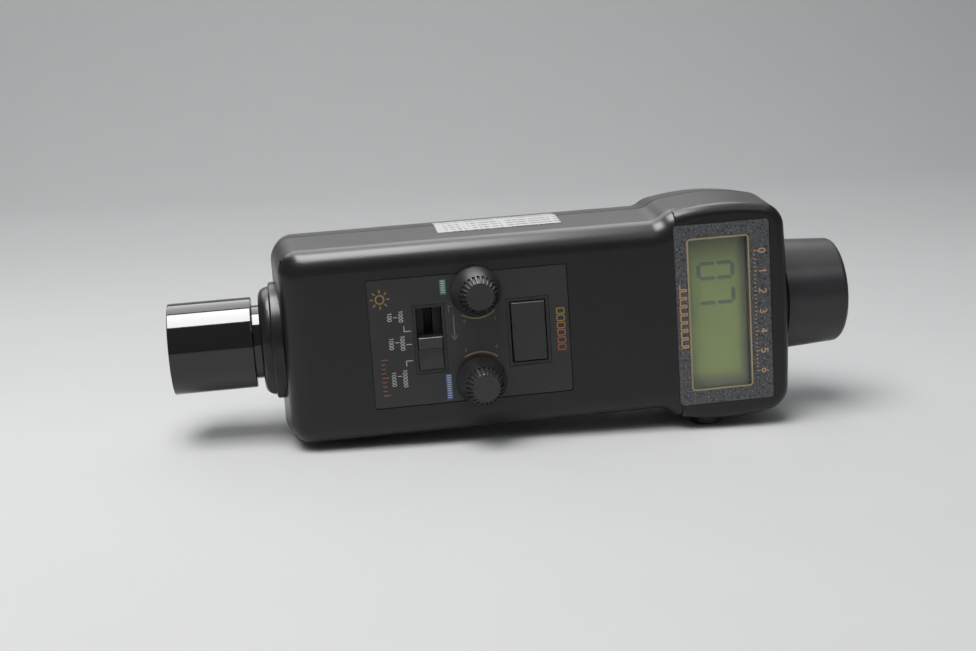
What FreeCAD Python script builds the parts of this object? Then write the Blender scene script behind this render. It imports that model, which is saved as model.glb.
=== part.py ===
import FreeCAD, Part
import math
import os

from FreeCAD import Vector

# Hand-held photo tachometer and xenon stroboscope.
# Axes while modelling, in mm: x along the length from the grip end towards the
# head, y through the thickness with the control face at negative y and the
# parting plane of the two case halves at y = 0, z across the width.
# Everything moves once, at the end, to the frame of the finished object.

# Battery cells and the width of the bay, which sets the width of the case
CELL_R = 7.1
CELL_L = 50.5
CELL_Y = 5.4
CELL_X0 = 41.6
CELL_PITCH = 14.8
CELL_COUNT = 4
SPRING_ROOM = 2.7
CONTACT_THICK = 0.3
SPRING_WIRE_R = 0.34
BAY_HALF = (CELL_L + SPRING_ROOM) / 2 + CONTACT_THICK

# Case
FRONT_Y = -21.6
BACK_Y = 17.0
WALL = 2.2
FACE_WALL = 2.4
BAY_SIDE = 2.1
GRIP_HALF = BAY_HALF + BAY_SIDE
GRIP_HALF_FRONT = GRIP_HALF - 2.6
GRIP_HALF_BACK = GRIP_HALF - 0.7
GRIP_END_FRONT = 2.2
GRIP_END_BACK = 0.6
GRIP_CORNER = 6.0
FRONT_ROUND = 6.6
HEAD_ROUND = 3.0
BACK_ROUND = 6.0
ROUND_STEPS = 8
SHOULDER_R = 5.0
SHOULDER_TOP_R = 8.0
SHOULDER_TOP_X = 114.1
SHOULDER_DIP = 0.05
GRIP_END_X = 117.0
HEAD_START_X = SHOULDER_TOP_X - 2.1
HEAD_END_X = 145.9
HEAD_END_X_FRONT = 144.1
HEAD_END_X_BACK = 145.3
HEAD_STEP = 3.5
HEAD_HALF = GRIP_HALF + HEAD_STEP
HEAD_HALF_FRONT = HEAD_HALF - 1.8
HEAD_HALF_BACK = HEAD_HALF - 0.7
HEAD_APEX_X = 126.0
HEAD_SIDE_R = 66.0
HEAD_END_R = 500.0
HEAD_CORNER = 6.8
SEAM_WIDTH = 0.35
SEAM_DEPTH = 0.5
SEAT_GAP = 0.1

# Control panel, display and their recesses
PANEL_X0 = 24.9
PANEL_X1 = 80.7
PANEL_HALF = 18.1
PANEL_THICK = 0.5
PANEL_GAP = 0.25
PANEL_SINK = 0.1
BEZEL_X0 = 111.1
BEZEL_X1 = 138.9
BEZEL_SIDE = 6.6
BEZEL_HALF = HEAD_HALF - BEZEL_SIDE
BEZEL_RIM = 4.4
BEZEL_THICK = 1.0
OPENING_X0 = 115.1
OPENING_X1 = 132.5
OPENING_HALF = BEZEL_HALF - BEZEL_RIM
BEZEL_CORNER = 1.3
WINDOW_STEP = 1.4
LCD_Y0 = FRONT_Y + FACE_WALL + 1.8
LCD_THICK = 2.6
LCD_MID_X = (OPENING_X0 + OPENING_X1) / 2
LCD_HALF_X = 10.2
LCD_SIDE = 1.7
LCD_HALF_Z = OPENING_HALF + LCD_SIDE
LCD_LEDGE = 1.6
LCD_FRAME_END = 1.0
LCD_FRAME_SIDE = 1.5
STRIP_HALF = LCD_HALF_Z - 2.2

# Knobs
KNOB_X = 54.9
KNOB_Z = 12.6
KNOB_SKIRT_R = 7.0
KNOB_RIM_R = 5.2
KNOB_RIM_DEPTH = 2.4
KNOB_CAP_R = 3.75
KNOB_HEIGHT = 10.0
KNOB_LIFT = 0.4
SHAFT_R = 2.4
SHAFT_FLAT = 1.6
SHAFT_FIT = 0.05
FLUTES = 24
FLUTE_R = 0.42

# Range switch
SLOT_X = 41.5
SLOT_Z = 0.35
SLOT_W = 7.2
SLOT_L = 18.4
SLOT_BEVEL = 0.9
THUMB_Z = -0.6
THUMB_H = 3.4
THUMB_PROUD = 1.1
THUMB_EDGE = 0.6
RANGE_STEP = 4.0
SHUTTER_Z = SLOT_Z - SLOT_L / 2 + 0.15
SHUTTER_ROOM = RANGE_STEP + 0.4
SHUTTER_GAP = 0.2
SHUTTER_THICK = 1.0

# Memory button
MEMORY_X = 69.05
MEMORY_Z = 0.1
MEMORY_W = 9.5
MEMORY_EDGE = 0.5
MEMORY_L = 16.6
MEMORY_GAP = 0.3
MEMORY_FRAME = 1.3
MEMORY_PROUD = 0.5
MEMORY_STROKE = 0.8
MEMORY_SWITCH_Y = -16.6
MEMORY_STEM_R = 1.6

# Measuring button on the lower side of the head
MEASURE_X = 121.6
MEASURE_Y = -10.4
MEASURE_R = 4.5
MEASURE_TIP_Z = -HEAD_HALF - 1.4
MEASURE_STROKE = 1.2
MEASURE_FLANGE_Z = -HEAD_HALF + 5.5
MEASURE_TIP_R = 1.5
MEASURE_TIP_Y = -7.9
MEASURE_TIP_END = MEASURE_FLANGE_Z + 3.4

# Flash lamp barrel
LAMP_X0 = -30.0
LAMP_X1 = -6.7
LAMP_R = 12.9
LAMP_BORE = 11.3
NECK_R = 10.4
NECK_BORE = 6.5
COLLAR_X0 = -4.7
COLLAR_R = 15.4
COLLAR_STEP_X = -1.6
FLANGE_R = 16.6
NECK_END_X = 2.4
NECK_FLANGE_X1 = 4.4
NECK_FLANGE_R = 13.0
LAMP_FLOOR_X = -8.0
REFLECTOR_X0 = -27.2
REFLECTOR_DEPTH = 13.0
REFLECTOR_MOUTH_R = 10.9
REFLECTOR_HOLE_R = 4.9
REFLECTOR_THICK = 0.6
WINDOW_X0 = -28.9
WINDOW_X1 = -27.4
RING_X0 = -29.7
SOCKET_X0 = -16.6
SOCKET_STEP_X = -12.6
SOCKET_NOSE_R = 4.6
SOCKET_R = 6.6
TUBE_R = 1.4
TUBE_HALF = 2.6
TUBE_BEND_X = -21.0
TUBE_END_X = -12.0
ELECTRODE_END_X = -10.1
LEAD_R = 0.6
LEAD_END_X = 10.0

# Photo barrel
PHOTO_X0 = 146.1
PHOTO_X1 = 164.6
PHOTO_R0 = 16.4
PHOTO_R1 = 15.3
PHOTO_RIM = 1.9
PHOTO_BORE = 13.2
SPIGOT_R = 15.1
PHOTO_FLANGE_X0 = 140.3
PHOTO_FLANGE_X1 = 141.8
PHOTO_FLANGE_R = 17.1
LENS_X0 = 153.8
LENS_X1 = 156.0
LENS_CROWN_X = 158.4
LENS_BALL_R = 34.0
LENS_RING_X1 = 159.0
HOLDER_THICK = 1.8
HOLDER_R = 14.0
LED_R = 2.5
LED_FLANGE_R = 2.9
LED_HALF = 4.2
LED_X0 = 137.5
LED_TIP_X = 145.0
BAFFLE_X1 = 149.0
BAFFLE_HALF = 9.5

# Boards and batteries
BOARD_FRONT_Y = -12.5
BOARD_THICK = 1.6
BOARD_X0 = 20.0
BOARD_X1 = 136.0
BOARD_HALF = GRIP_HALF - 5.0
CHIPS = (
    # x, z, length, width, height
    (120.0, 0.0, 14.0, 14.0, 2.0),
    (92.0, 6.0, 10.0, 6.0, 1.8),
    (92.0, -8.0, 10.0, 6.0, 1.8),
    (70.0, 4.0, 12.0, 7.0, 2.0),
    (48.0, -6.0, 10.0, 6.0, 1.8),
)
STROBE_BOARD_Y = 2.4
STROBE_X0 = 7.0
STROBE_X1 = 31.2
STROBE_HALF = 17.0
CAPACITOR_R = 4.3
CAPACITOR_X = 12.5
CORE_X = 23.5
CORE_Z = 9.0
CORE_H = 9.0
COIL_X = 23.0
COIL_Z = -8.0
COIL_R = 3.4
BAY_X0 = CELL_X0 - CELL_R - 1.5
BAY_X1 = CELL_X0 + (CELL_COUNT - 1) * CELL_PITCH + CELL_R + 1.9
BAY_FLOOR_Y = -2.7
BAY_WALL = 1.4
TRAY_HALF = BAY_HALF - 1.5
COVER_THICK = 2.0
COVER_SKIRT_Y = 11.0
COVER_REACH = 2.9
COVER_X0 = BAY_X0 - COVER_REACH
COVER_X1 = BAY_X1 + COVER_REACH
TAB_HALF = 4.4
TAB_REACH = 3.3
GRIP_LINES = 9
COVER_GAP = 0.25

# Label on the upper side
LABEL_X0 = 46.9
LABEL_X1 = 82.1
LABEL_Y0 = -9.6
LABEL_Y1 = 6.6
LABEL_THICK = 0.12

# Screws: places in x and z
SCREW_R = 1.5
SCREW_HEAD_R = 2.6
SCREW_FIT = 0.05
CASE_POST_R = 3.1
BOARD_POST_R = 2.6
STROBE_POST_R = 2.4
SCREW_RECESS = 3.4
SMALL_SCREW_R = 1.0
SMALL_HEAD_R = 1.9
CASE_SCREWS = tuple(
    (x, side * z)
    for x, z in ((9.0, GRIP_HALF - 8.0), (103.6, GRIP_HALF - 6.6), (139.0, HEAD_HALF - 8.5))
    for side in (1, -1))
BOARD_SCREW_Z = BOARD_HALF - 3.0
BOARD_SCREWS = ((26.0, BOARD_SCREW_Z), (26.0, -BOARD_SCREW_Z), (106.0, 12.0), (106.0, -12.0))
STROBE_SCREWS = ((26.5, 20.0), (26.5, -20.0))
COVER_SCREWS = (BAY_X0 - 6.1, BAY_X1 + 6.1)
COVER_SCREW_TIP = 7.5


def box(x0, x1, y0, y1, z0, z1):
    """Box between the given limits."""
    return Part.makeBox(x1 - x0, y1 - y0, z1 - z0, Vector(x0, y0, z0))


def rod_x(x0, x1, r, y=0.0, z=0.0):
    """Cylinder along x."""
    return Part.makeCylinder(r, x1 - x0, Vector(x0, y, z), Vector(1, 0, 0))


def rod_y(y0, y1, r, x=0.0, z=0.0):
    """Cylinder along y."""
    return Part.makeCylinder(r, y1 - y0, Vector(x, y0, z), Vector(0, 1, 0))


def rod_z(z0, z1, r, x=0.0, y=0.0):
    """Cylinder along z."""
    return Part.makeCylinder(r, z1 - z0, Vector(x, y, z0), Vector(0, 0, 1))


def round_plate(x0, x1, y0, y1, z0, z1, r):
    """Plate in the x-z plane with rounded corners."""
    plate = box(x0, x1, y0, y1, z0, z1)
    corners = [e for e in plate.Edges if abs(e.Vertexes[0].Point.y - e.Vertexes[1].Point.y) > 1e-6]
    return plate.makeFillet(r, corners)


def spin_x(points):
    """Solid of revolution about the x axis from (x, radius) points."""
    wire = Part.makePolygon([Vector(x, 0, r) for x, r in points + [points[0]]])
    return Part.Face(wire).revolve(Vector(0, 0, 0), Vector(1, 0, 0), 360)


def spin_y(points, x, z):
    """Solid of revolution about a line along y through (x, z) from (y, radius) points."""
    loop = points + [points[0]]
    wire = Part.makePolygon([Vector(x + r, y, z) for y, r in loop])
    return Part.Face(wire).revolve(Vector(x, 0, z), Vector(0, 1, 0), 360)


def circle_edges(shape, x, r):
    """Full circles of radius r that lie in the plane at x."""
    found = []
    for e in shape.Edges:
        if isinstance(e.Curve, Part.Circle) and abs(e.Curve.Radius - r) < 1e-4:
            if abs(e.Curve.Center.x - x) < 1e-4 and abs(abs(e.Curve.Axis.x) - 1.0) < 1e-4:
                found.append(e)
    return found


def join(shapes):
    """One shape from a list of overlapping shapes."""
    first = shapes[0]
    return first.fuse(shapes[1:]).removeSplitter()


def mix(at_seam, at_face, t):
    """Value between the parting plane (t = 0) and the outer face (t = 1)."""
    return at_seam + (at_face - at_seam) * t


def chain(points, y):
    """Closed wire from (x, z) points; a pair of points stands for an arc through the first of them."""
    edges = []
    here = points[0]
    for item in points[1:]:
        p = Vector(here[0], y, here[1])
        if isinstance(item[0], tuple):
            via, here = item
            edges.append(Part.Arc(p, Vector(via[0], y, via[1]), Vector(here[0], y, here[1])).toShape())
        else:
            here = item
            edges.append(Part.makeLine(p, Vector(here[0], y, here[1])))
    first = points[0]
    if math.hypot(here[0] - first[0], here[1] - first[1]) > 1e-6:
        edges.append(Part.makeLine(Vector(here[0], y, here[1]), Vector(first[0], y, first[1])))
    return Part.Wire(edges)


def grip_wire(y, side, t, inset):
    """Outline of the grip at depth y, shrunk by inset; t is the depth fraction.

    At the shoulder a hollow arc and then a round one lead up to the side of the head.
    """
    w = mix(GRIP_HALF, GRIP_HALF_FRONT if side < 0 else GRIP_HALF_BACK, t)
    apex = mix(HEAD_HALF, HEAD_HALF_FRONT if side < 0 else HEAD_HALF_BACK, t)
    fall = HEAD_SIDE_R - math.sqrt(HEAD_SIDE_R ** 2 - (HEAD_APEX_X - SHOULDER_TOP_X) ** 2)
    top_z = apex - fall - SHOULDER_DIP
    bend = SHOULDER_R + SHOULDER_TOP_R
    turn = math.acos(1.0 - (top_z - w) / bend)
    turn_x = SHOULDER_TOP_X - bend * math.sin(turn)
    low_r, high_r = SHOULDER_R + inset, SHOULDER_TOP_R - inset

    def hollow(angle):
        return turn_x + low_r * math.sin(angle), w + SHOULDER_R - low_r * math.cos(angle)

    def crest(angle):
        return SHOULDER_TOP_X - high_r * math.sin(angle), top_z - SHOULDER_TOP_R + high_r * math.cos(angle)

    def flip(p):
        return p[0], -p[1]

    x0 = mix(0.0, GRIP_END_FRONT if side < 0 else GRIP_END_BACK, t) + inset
    low = w - inset
    r = max(GRIP_CORNER - 0.75 * inset, 1.2)
    d = r * (1.0 - math.sqrt(0.5))
    start, top, end = (x0 + r, low), crest(0.0), (GRIP_END_X, top_z - inset)
    return chain([
        (x0, -low + r), (x0, low - r), ((x0 + d, low - d), start), hollow(0.0),
        (hollow(turn / 2), hollow(turn)), (crest(turn / 2), top), end, flip(end), flip(top),
        (flip(crest(turn / 2)), flip(hollow(turn))), (flip(hollow(turn / 2)), flip(hollow(0.0))), flip(start),
        ((x0 + d, -low + d), (x0, -low + r)),
    ], y)


def head_wire(y, side, t, inset):
    """Outline of the head at depth y, shrunk by inset: three big arcs and two corners."""
    apex = mix(HEAD_HALF, HEAD_HALF_FRONT if side < 0 else HEAD_HALF_BACK, t) - inset
    end = mix(HEAD_END_X, HEAD_END_X_FRONT if side < 0 else HEAD_END_X_BACK, t) - inset
    side_r = HEAD_SIDE_R - inset
    end_r = HEAD_END_R - inset
    r = HEAD_CORNER - inset
    sx, sz = HEAD_APEX_X, apex - side_r
    ex, ez = end - end_r, 0.0
    a, b = side_r - r, end_r - r
    gap = math.hypot(ex - sx, ez - sz)
    along = (a * a - b * b + gap * gap) / (2 * gap)
    off = math.sqrt(a * a - along * along)
    ux, uz = (ex - sx) / gap, (ez - sz) / gap
    found = [(sx + along * ux + k * off * uz, sz + along * uz - k * off * ux) for k in (1, -1)]
    cx, cz = max(found)

    def on_ray(px, pz, radius):
        length = math.hypot(cx - px, cz - pz)
        return px + (cx - px) / length * radius, pz + (cz - pz) / length * radius

    p_side = on_ray(sx, sz, side_r)
    p_end = on_ray(ex, ez, end_r)
    n = (p_side[0] - cx + p_end[0] - cx, p_side[1] - cz + p_end[1] - cz)
    scale = r / math.hypot(*n)
    p_mid = (cx + n[0] * scale, cz + n[1] * scale)
    start_z = sz + math.sqrt(side_r ** 2 - (HEAD_START_X - sx) ** 2)

    def flip(p):
        return p[0], -p[1]

    start = (HEAD_START_X, start_z)
    apex_point = (sx, apex)
    return chain([
        start, (apex_point, p_side), (p_mid, p_end), ((end, 0.0), flip(p_end)), (flip(p_mid), flip(p_side)),
        (flip(apex_point), flip(start)),
    ], y)


def rounded_half(outline, y_seam, y_face, radius, inset, slope):
    """Solid between two depths, with sloping sides and a rounded edge at y_face."""
    side = 1.0 if y_face > 0 else -1.0
    reach = abs(y_face)
    lean = math.atan(slope)
    outer = []
    for k in range(ROUND_STEPS + 1):
        angle = lean + (math.pi / 2 - lean) * k / ROUND_STEPS
        deep = radius * (1.0 - math.sin(angle))
        shrink = radius * (math.cos(lean) - math.cos(angle))
        shrink -= slope * radius * (math.sin(angle) - math.sin(lean))
        outer.append((side * (reach - deep), inset + max(shrink, 0.0)))
    full = abs(FRONT_Y) if side < 0 else BACK_Y
    wires = [outline(y, side, abs(y) / full, shrink) for y, shrink in outer]
    wall = Part.makeLoft([outline(y_seam, side, abs(y_seam) / full, inset), wires[0]], True, True)
    edge = Part.makeLoft(wires, True, False)
    return wall.fuse(edge)


def plain_half(outline, y0, y1, inset):
    """Solid between two depths with sloping sides and no rounding."""
    side = 1.0 if y0 + y1 > 0 else -1.0
    full = abs(FRONT_Y) if side < 0 else BACK_Y
    wires = [outline(y, side, abs(y) / full, inset) for y in (y0, y1)]
    return Part.makeLoft(wires, True, True)


def front_body():
    """Outer form of the front half."""
    slope_grip = (GRIP_HALF - GRIP_HALF_FRONT) / abs(FRONT_Y)
    slope_head = (HEAD_HALF - HEAD_HALF_FRONT) / abs(FRONT_Y)
    return [
        rounded_half(grip_wire, -SEAM_WIDTH, FRONT_Y, FRONT_ROUND, 0.0, slope_grip),
        rounded_half(head_wire, -SEAM_WIDTH, FRONT_Y, HEAD_ROUND, 0.0, slope_head),
    ]


def back_body():
    """Outer form of the back half."""
    slope_grip = (GRIP_HALF - GRIP_HALF_BACK) / BACK_Y
    slope_head = (HEAD_HALF - HEAD_HALF_BACK) / BACK_Y
    return [
        rounded_half(grip_wire, 0.0, BACK_Y, BACK_ROUND, 0.0, slope_grip),
        rounded_half(head_wire, 0.0, BACK_Y, BACK_ROUND, 0.0, slope_head),
    ]


def grip_hollow(y_end, half_end, bevel):
    """Hollow of the grip between the parting plane and the inner face at y_end."""
    side = 1.0 if y_end > 0 else -1.0
    y_bevel = y_end - side * bevel
    half = GRIP_HALF - WALL
    corner = (GRIP_CORNER - WALL) * 0.6
    section = [(0.0, half), (y_bevel, half_end + 0.1), (y_end, half_end - bevel)]
    section += [(y, -z) for y, z in reversed(section)]
    across = [Vector(0, y, z) for y, z in section]
    prism = Part.Face(Part.makePolygon(across + [across[0]])).extrude(Vector(GRIP_END_X, 0, 0))
    end = WALL + 0.4
    profile = ((end, 0.0), (end, y_bevel), (WALL + bevel, y_end), (GRIP_END_X, y_end), (GRIP_END_X, 0.0))
    lengthwise = [Vector(x, y, -half) for x, y in profile]
    ends = Part.Face(Part.makePolygon(lengthwise + [lengthwise[0]])).extrude(Vector(0, 0, 2 * half))
    prism = prism.common(ends)
    plan = [(WALL, half - corner), (WALL + corner, half), (GRIP_END_X, half)]
    plan += [(x, -z) for x, z in reversed(plan)]
    flat = [Vector(x, FRONT_Y, z) for x, z in plan]
    return prism.common(Part.Face(Part.makePolygon(flat + [flat[0]])).extrude(Vector(0, BACK_Y - FRONT_Y, 0)))


def head_hollow(y_end, radius):
    """Hollow of the head between the parting plane and the inner face at y_end."""
    half_face = HEAD_HALF_FRONT if y_end < 0 else HEAD_HALF_BACK
    full = abs(FRONT_Y) if y_end < 0 else BACK_Y
    return rounded_half(head_wire, 0.0, y_end, radius, WALL, (HEAD_HALF - half_face) / full)


def collar():
    """Two-step collar on the grip end, both halves in one."""
    body = spin_x([
        (COLLAR_X0, 0.0), (COLLAR_X0, COLLAR_R), (COLLAR_STEP_X, COLLAR_R), (COLLAR_STEP_X, FLANGE_R),
        (1.5, FLANGE_R), (1.5, 0.0)])
    body = body.makeFillet(2.8, circle_edges(body, COLLAR_X0, COLLAR_R))
    return body.makeFillet(0.6, circle_edges(body, COLLAR_STEP_X, FLANGE_R))


def barrel_cuts():
    """What both case halves lose to the two barrels."""
    return [
        rod_x(COLLAR_X0 - 1.0, NECK_END_X, NECK_R + SEAT_GAP),
        rod_x(NECK_END_X, NECK_FLANGE_X1 + 0.2, NECK_FLANGE_R + SEAT_GAP),
        rod_x(PHOTO_FLANGE_X1, HEAD_END_X + 1.0, SPIGOT_R + SEAT_GAP),
    ]


def front_shell():
    """Front half of the case."""
    inner_y = FRONT_Y + FACE_WALL
    lips = [plain_half(wire, 0.0, -SEAM_WIDTH, SEAM_DEPTH) for wire in (grip_wire, head_wire)]
    half_end = GRIP_HALF + (GRIP_HALF_FRONT - GRIP_HALF) * inner_y / FRONT_Y - WALL
    hollow = join([grip_hollow(inner_y, half_end, 2.5), head_hollow(inner_y, 1.2)])
    half_space = box(COLLAR_X0 - 5, PHOTO_X1, FRONT_Y - 20, 0, -60, 60)
    ring = collar().common(half_space)
    shell = join(front_body() + lips + [ring]).cut(hollow)

    posts = [rod_y(inner_y + 1.0, 0.0, CASE_POST_R, x, z) for x, z in CASE_SCREWS]
    posts += [rod_y(inner_y - 0.5, 0.0, CASE_POST_R - 1.5, x, z) for x, z in CASE_SCREWS]
    posts += [rod_y(inner_y - 0.5, BOARD_FRONT_Y, BOARD_POST_R, x, z) for x, z in BOARD_SCREWS]
    guide = rod_z(-HEAD_HALF + 0.9, MEASURE_FLANGE_Z, MEASURE_R + 2.2, MEASURE_X, MEASURE_Y)
    full = plain_half(head_wire, -SEAM_WIDTH, FRONT_Y + 1.0, 0.6)
    posts.append(guide.common(full))
    shell = join([shell] + posts)

    cuts = barrel_cuts()
    cuts += [rod_y(inner_y + 4.0, 1.0, SCREW_R + SCREW_FIT, x, z) for x, z in CASE_SCREWS]
    bore = SMALL_SCREW_R + SCREW_FIT
    cuts += [rod_y(inner_y + 1.5, BOARD_FRONT_Y + 1, bore, x, z) for x, z in BOARD_SCREWS]
    panel_y = FRONT_Y + PANEL_THICK + PANEL_SINK
    cuts.append(round_plate(
        PANEL_X0, PANEL_X1, FRONT_Y - 1, panel_y, -PANEL_HALF, PANEL_HALF, 0.8))
    bezel_y = FRONT_Y + BEZEL_THICK
    cuts.append(round_plate(
        BEZEL_X0, BEZEL_X1, FRONT_Y - 1, bezel_y, -BEZEL_HALF, BEZEL_HALF, BEZEL_CORNER))
    cuts.append(box(
        OPENING_X0 - WINDOW_STEP - 0.2, OPENING_X1 + WINDOW_STEP + 0.2, bezel_y - 1, inner_y + 1,
        -OPENING_HALF - WINDOW_STEP - 0.2, OPENING_HALF + WINDOW_STEP + 0.2))
    for side in (1, -1):
        cuts.append(rod_y(FRONT_Y - 1, inner_y + 1, 3.6, KNOB_X, side * KNOB_Z))
    cuts.append(box(
        SLOT_X - SLOT_W / 2, SLOT_X + SLOT_W / 2, FRONT_Y - 1, inner_y + 1,
        SLOT_Z - SLOT_L / 2 - SHUTTER_ROOM, SLOT_Z + SLOT_L / 2))
    cuts.append(box(
        MEMORY_X - MEMORY_W / 2 - MEMORY_GAP, MEMORY_X + MEMORY_W / 2 + MEMORY_GAP, FRONT_Y - 1, inner_y + 1,
        MEMORY_Z - MEMORY_L / 2 - MEMORY_GAP, MEMORY_Z + MEMORY_L / 2 + MEMORY_GAP))
    cuts.append(rod_z(MEASURE_TIP_Z - 2, MEASURE_FLANGE_Z + 1, MEASURE_R + 0.1, MEASURE_X, MEASURE_Y))
    return shell.cut(cuts)


def back_shell():
    """Back half of the case with the battery bay."""
    inner_y = BACK_Y - WALL
    half_end = GRIP_HALF_BACK - WALL
    hollow = join([grip_hollow(inner_y, half_end, 1.6), head_hollow(inner_y, BACK_ROUND - WALL)])
    half_space = box(COLLAR_X0 - 5, PHOTO_X1, 0, BACK_Y + 20, -60, 60)
    ring = collar().common(half_space)
    shell = join(back_body() + [ring]).cut(hollow)

    tray_x0 = BAY_X0 - BAY_WALL
    tray_x1 = BAY_X1 + BAY_WALL
    low_y = BAY_FLOOR_Y - BAY_WALL
    wall_top = BACK_Y - COVER_THICK - 0.1
    tray = [box(tray_x0, tray_x1, low_y, BAY_FLOOR_Y, -TRAY_HALF, TRAY_HALF)]
    for x in (tray_x0, BAY_X1):
        tray.append(box(x, x + BAY_WALL, low_y, wall_top, -TRAY_HALF + 1.2, TRAY_HALF - 1.2))
        tray.append(box(x, x + BAY_WALL, 0.0, COVER_SKIRT_Y - COVER_GAP, -BAY_HALF - 0.3, BAY_HALF + 0.3))
    posts = [rod_y(0.0, inner_y + 0.5, CASE_POST_R, x, z) for x, z in CASE_SCREWS]
    strobe_back = STROBE_BOARD_Y + BOARD_THICK
    posts += [rod_y(strobe_back, inner_y + 0.5, STROBE_POST_R, x, z) for x, z in STROBE_SCREWS]
    shell = join([shell] + tray + posts)
    lid = cover_region(COVER_GAP)
    shell = shell.cut([lid, box(BAY_X0, BAY_X1, 0.0, BACK_Y, -BAY_HALF - 0.05, BAY_HALF + 0.05)])
    for x, wall_x in zip(COVER_SCREWS, (tray_x0 + 0.5, BAY_X1 + 0.5)):
        rib = box(min(x, wall_x), max(x, wall_x), 4.0, COVER_SKIRT_Y - COVER_GAP, -1.4, 1.4)
        shell = join([shell, rod_y(4.0, wall_top, BOARD_POST_R, x, 0.0), rib])

    cuts = barrel_cuts()
    for x, z in CASE_SCREWS:
        cuts.append(rod_y(-1.0, BACK_Y + 1, SCREW_R + 0.1, x, z))
        cuts.append(rod_y(BACK_Y - SCREW_RECESS, BACK_Y + 1, SCREW_HEAD_R + 0.3, x, z))
    cuts += [rod_y(3.0, 9.0, SMALL_SCREW_R + SCREW_FIT, x, z) for x, z in STROBE_SCREWS]
    bore = SMALL_SCREW_R + SCREW_FIT
    cuts += [rod_y(COVER_SCREW_TIP - 0.5, BACK_Y + 1, bore, x, 0.0) for x in COVER_SCREWS]
    return shell.cut(cuts)


def cover_region(gap):
    """Space the battery cover takes in the back of the case, grown by the gap."""
    main = box(COVER_X0 - gap, COVER_X1 + gap, COVER_SKIRT_Y - gap, BACK_Y + 1, -GRIP_HALF - 1, GRIP_HALF + 1)
    inside = cover_inside(gap)
    tabs = round_plate(
        COVER_SCREWS[0] - TAB_REACH - gap, COVER_SCREWS[1] + TAB_REACH + gap,
        BACK_Y - COVER_THICK - (0.1 if gap else 0.0), BACK_Y + 1, -TAB_HALF - gap, TAB_HALF + gap, 2.0)
    if gap:
        return join([main, tabs])
    return join([main.cut(inside), tabs])


def cover_inside(gap):
    """Space under the battery cover."""
    top = BACK_Y - COVER_THICK
    pts = [(COVER_SKIRT_Y - 1, BAY_HALF), (COVER_SKIRT_Y + 0.6, BAY_HALF), (top, BAY_HALF - 2.4)]
    pts += [(y, -z) for y, z in reversed(pts)]
    wire = [Vector(COVER_X0 + 1.3 - 3 * gap, y, z) for y, z in pts]
    length = COVER_X1 - COVER_X0 - 2.6 + 6 * gap
    return Part.Face(Part.makePolygon(wire + [wire[0]])).extrude(Vector(length, 0, 0))


def battery_cover():
    """Cover over the battery bay, following the back face and its rounded edges."""
    plate = back_body()[0].common(cover_region(0.0))
    cuts = []
    for x in COVER_SCREWS:
        cuts.append(rod_y(BACK_Y - 3, BACK_Y + 1, SMALL_SCREW_R + 0.1, x, 0.0))
        cuts.append(rod_y(BACK_Y - 1.3, BACK_Y + 1, 2.2, x, 0.0))
    for k in range(GRIP_LINES):
        x = 51.0 + 3.0 * k
        cuts.append(box(x, x + 1.4, BACK_Y - 0.6, BACK_Y + 1, -12.0, 12.0))
    return plate.cut(cuts)


def screw(y_head, y_tip, head_side, r, head_r, head_h, x, z):
    """Pan-head screw along y with a cross slot; head_side is +1 or -1."""
    shank = rod_y(min(y_head, y_tip), max(y_head, y_tip), r, x, z)
    y0 = y_head if head_side > 0 else y_head - head_h
    head = rod_y(y0, y0 + head_h, head_r, x, z)
    rim_y = y_head + head_side * head_h
    rim = [e for e in head.Edges if max(abs(e.BoundBox.YMin - rim_y), abs(e.BoundBox.YMax - rim_y)) < 1e-6]
    head = head.makeFillet(head_h * 0.35, rim)
    y1 = rim_y - head_side * head_h * 0.5
    low, high = min(rim_y, y1) - 0.01, max(rim_y, y1) + 0.01
    a = box(x - head_r * 0.6, x + head_r * 0.6, low, high, z - 0.3, z + 0.3)
    b = box(x - 0.3, x + 0.3, low, high, z - head_r * 0.6, z + head_r * 0.6)
    return join([shank, head]).cut([a, b])


def case_screws():
    """Six screws that hold the case halves together."""
    seat = BACK_Y - SCREW_RECESS
    tip = FRONT_Y + FACE_WALL + 6.0
    return Part.makeCompound([
        screw(seat, tip, 1, SCREW_R, SCREW_HEAD_R, 1.6, x, z) for x, z in CASE_SCREWS])


def cover_screws():
    """Two screws of the battery cover."""
    seat = BACK_Y - 1.3
    return Part.makeCompound([
        screw(seat, COVER_SCREW_TIP, 1, SMALL_SCREW_R, SMALL_HEAD_R, 1.1, x, 0.0) for x in COVER_SCREWS])


def board_screws():
    """Screws of the main board, heads on its back face."""
    seat = BOARD_FRONT_Y + BOARD_THICK
    tip = FRONT_Y + FACE_WALL + 2.5
    return Part.makeCompound([
        screw(seat, tip, 1, SMALL_SCREW_R, SMALL_HEAD_R, 1.2, x, z) for x, z in BOARD_SCREWS])


def strobe_board_screws():
    """Screws of the flash board, heads on its front face."""
    return Part.makeCompound([
        screw(STROBE_BOARD_Y, 8.0, -1, SMALL_SCREW_R, SMALL_HEAD_R, 1.2, x, z) for x, z in STROBE_SCREWS])


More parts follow.
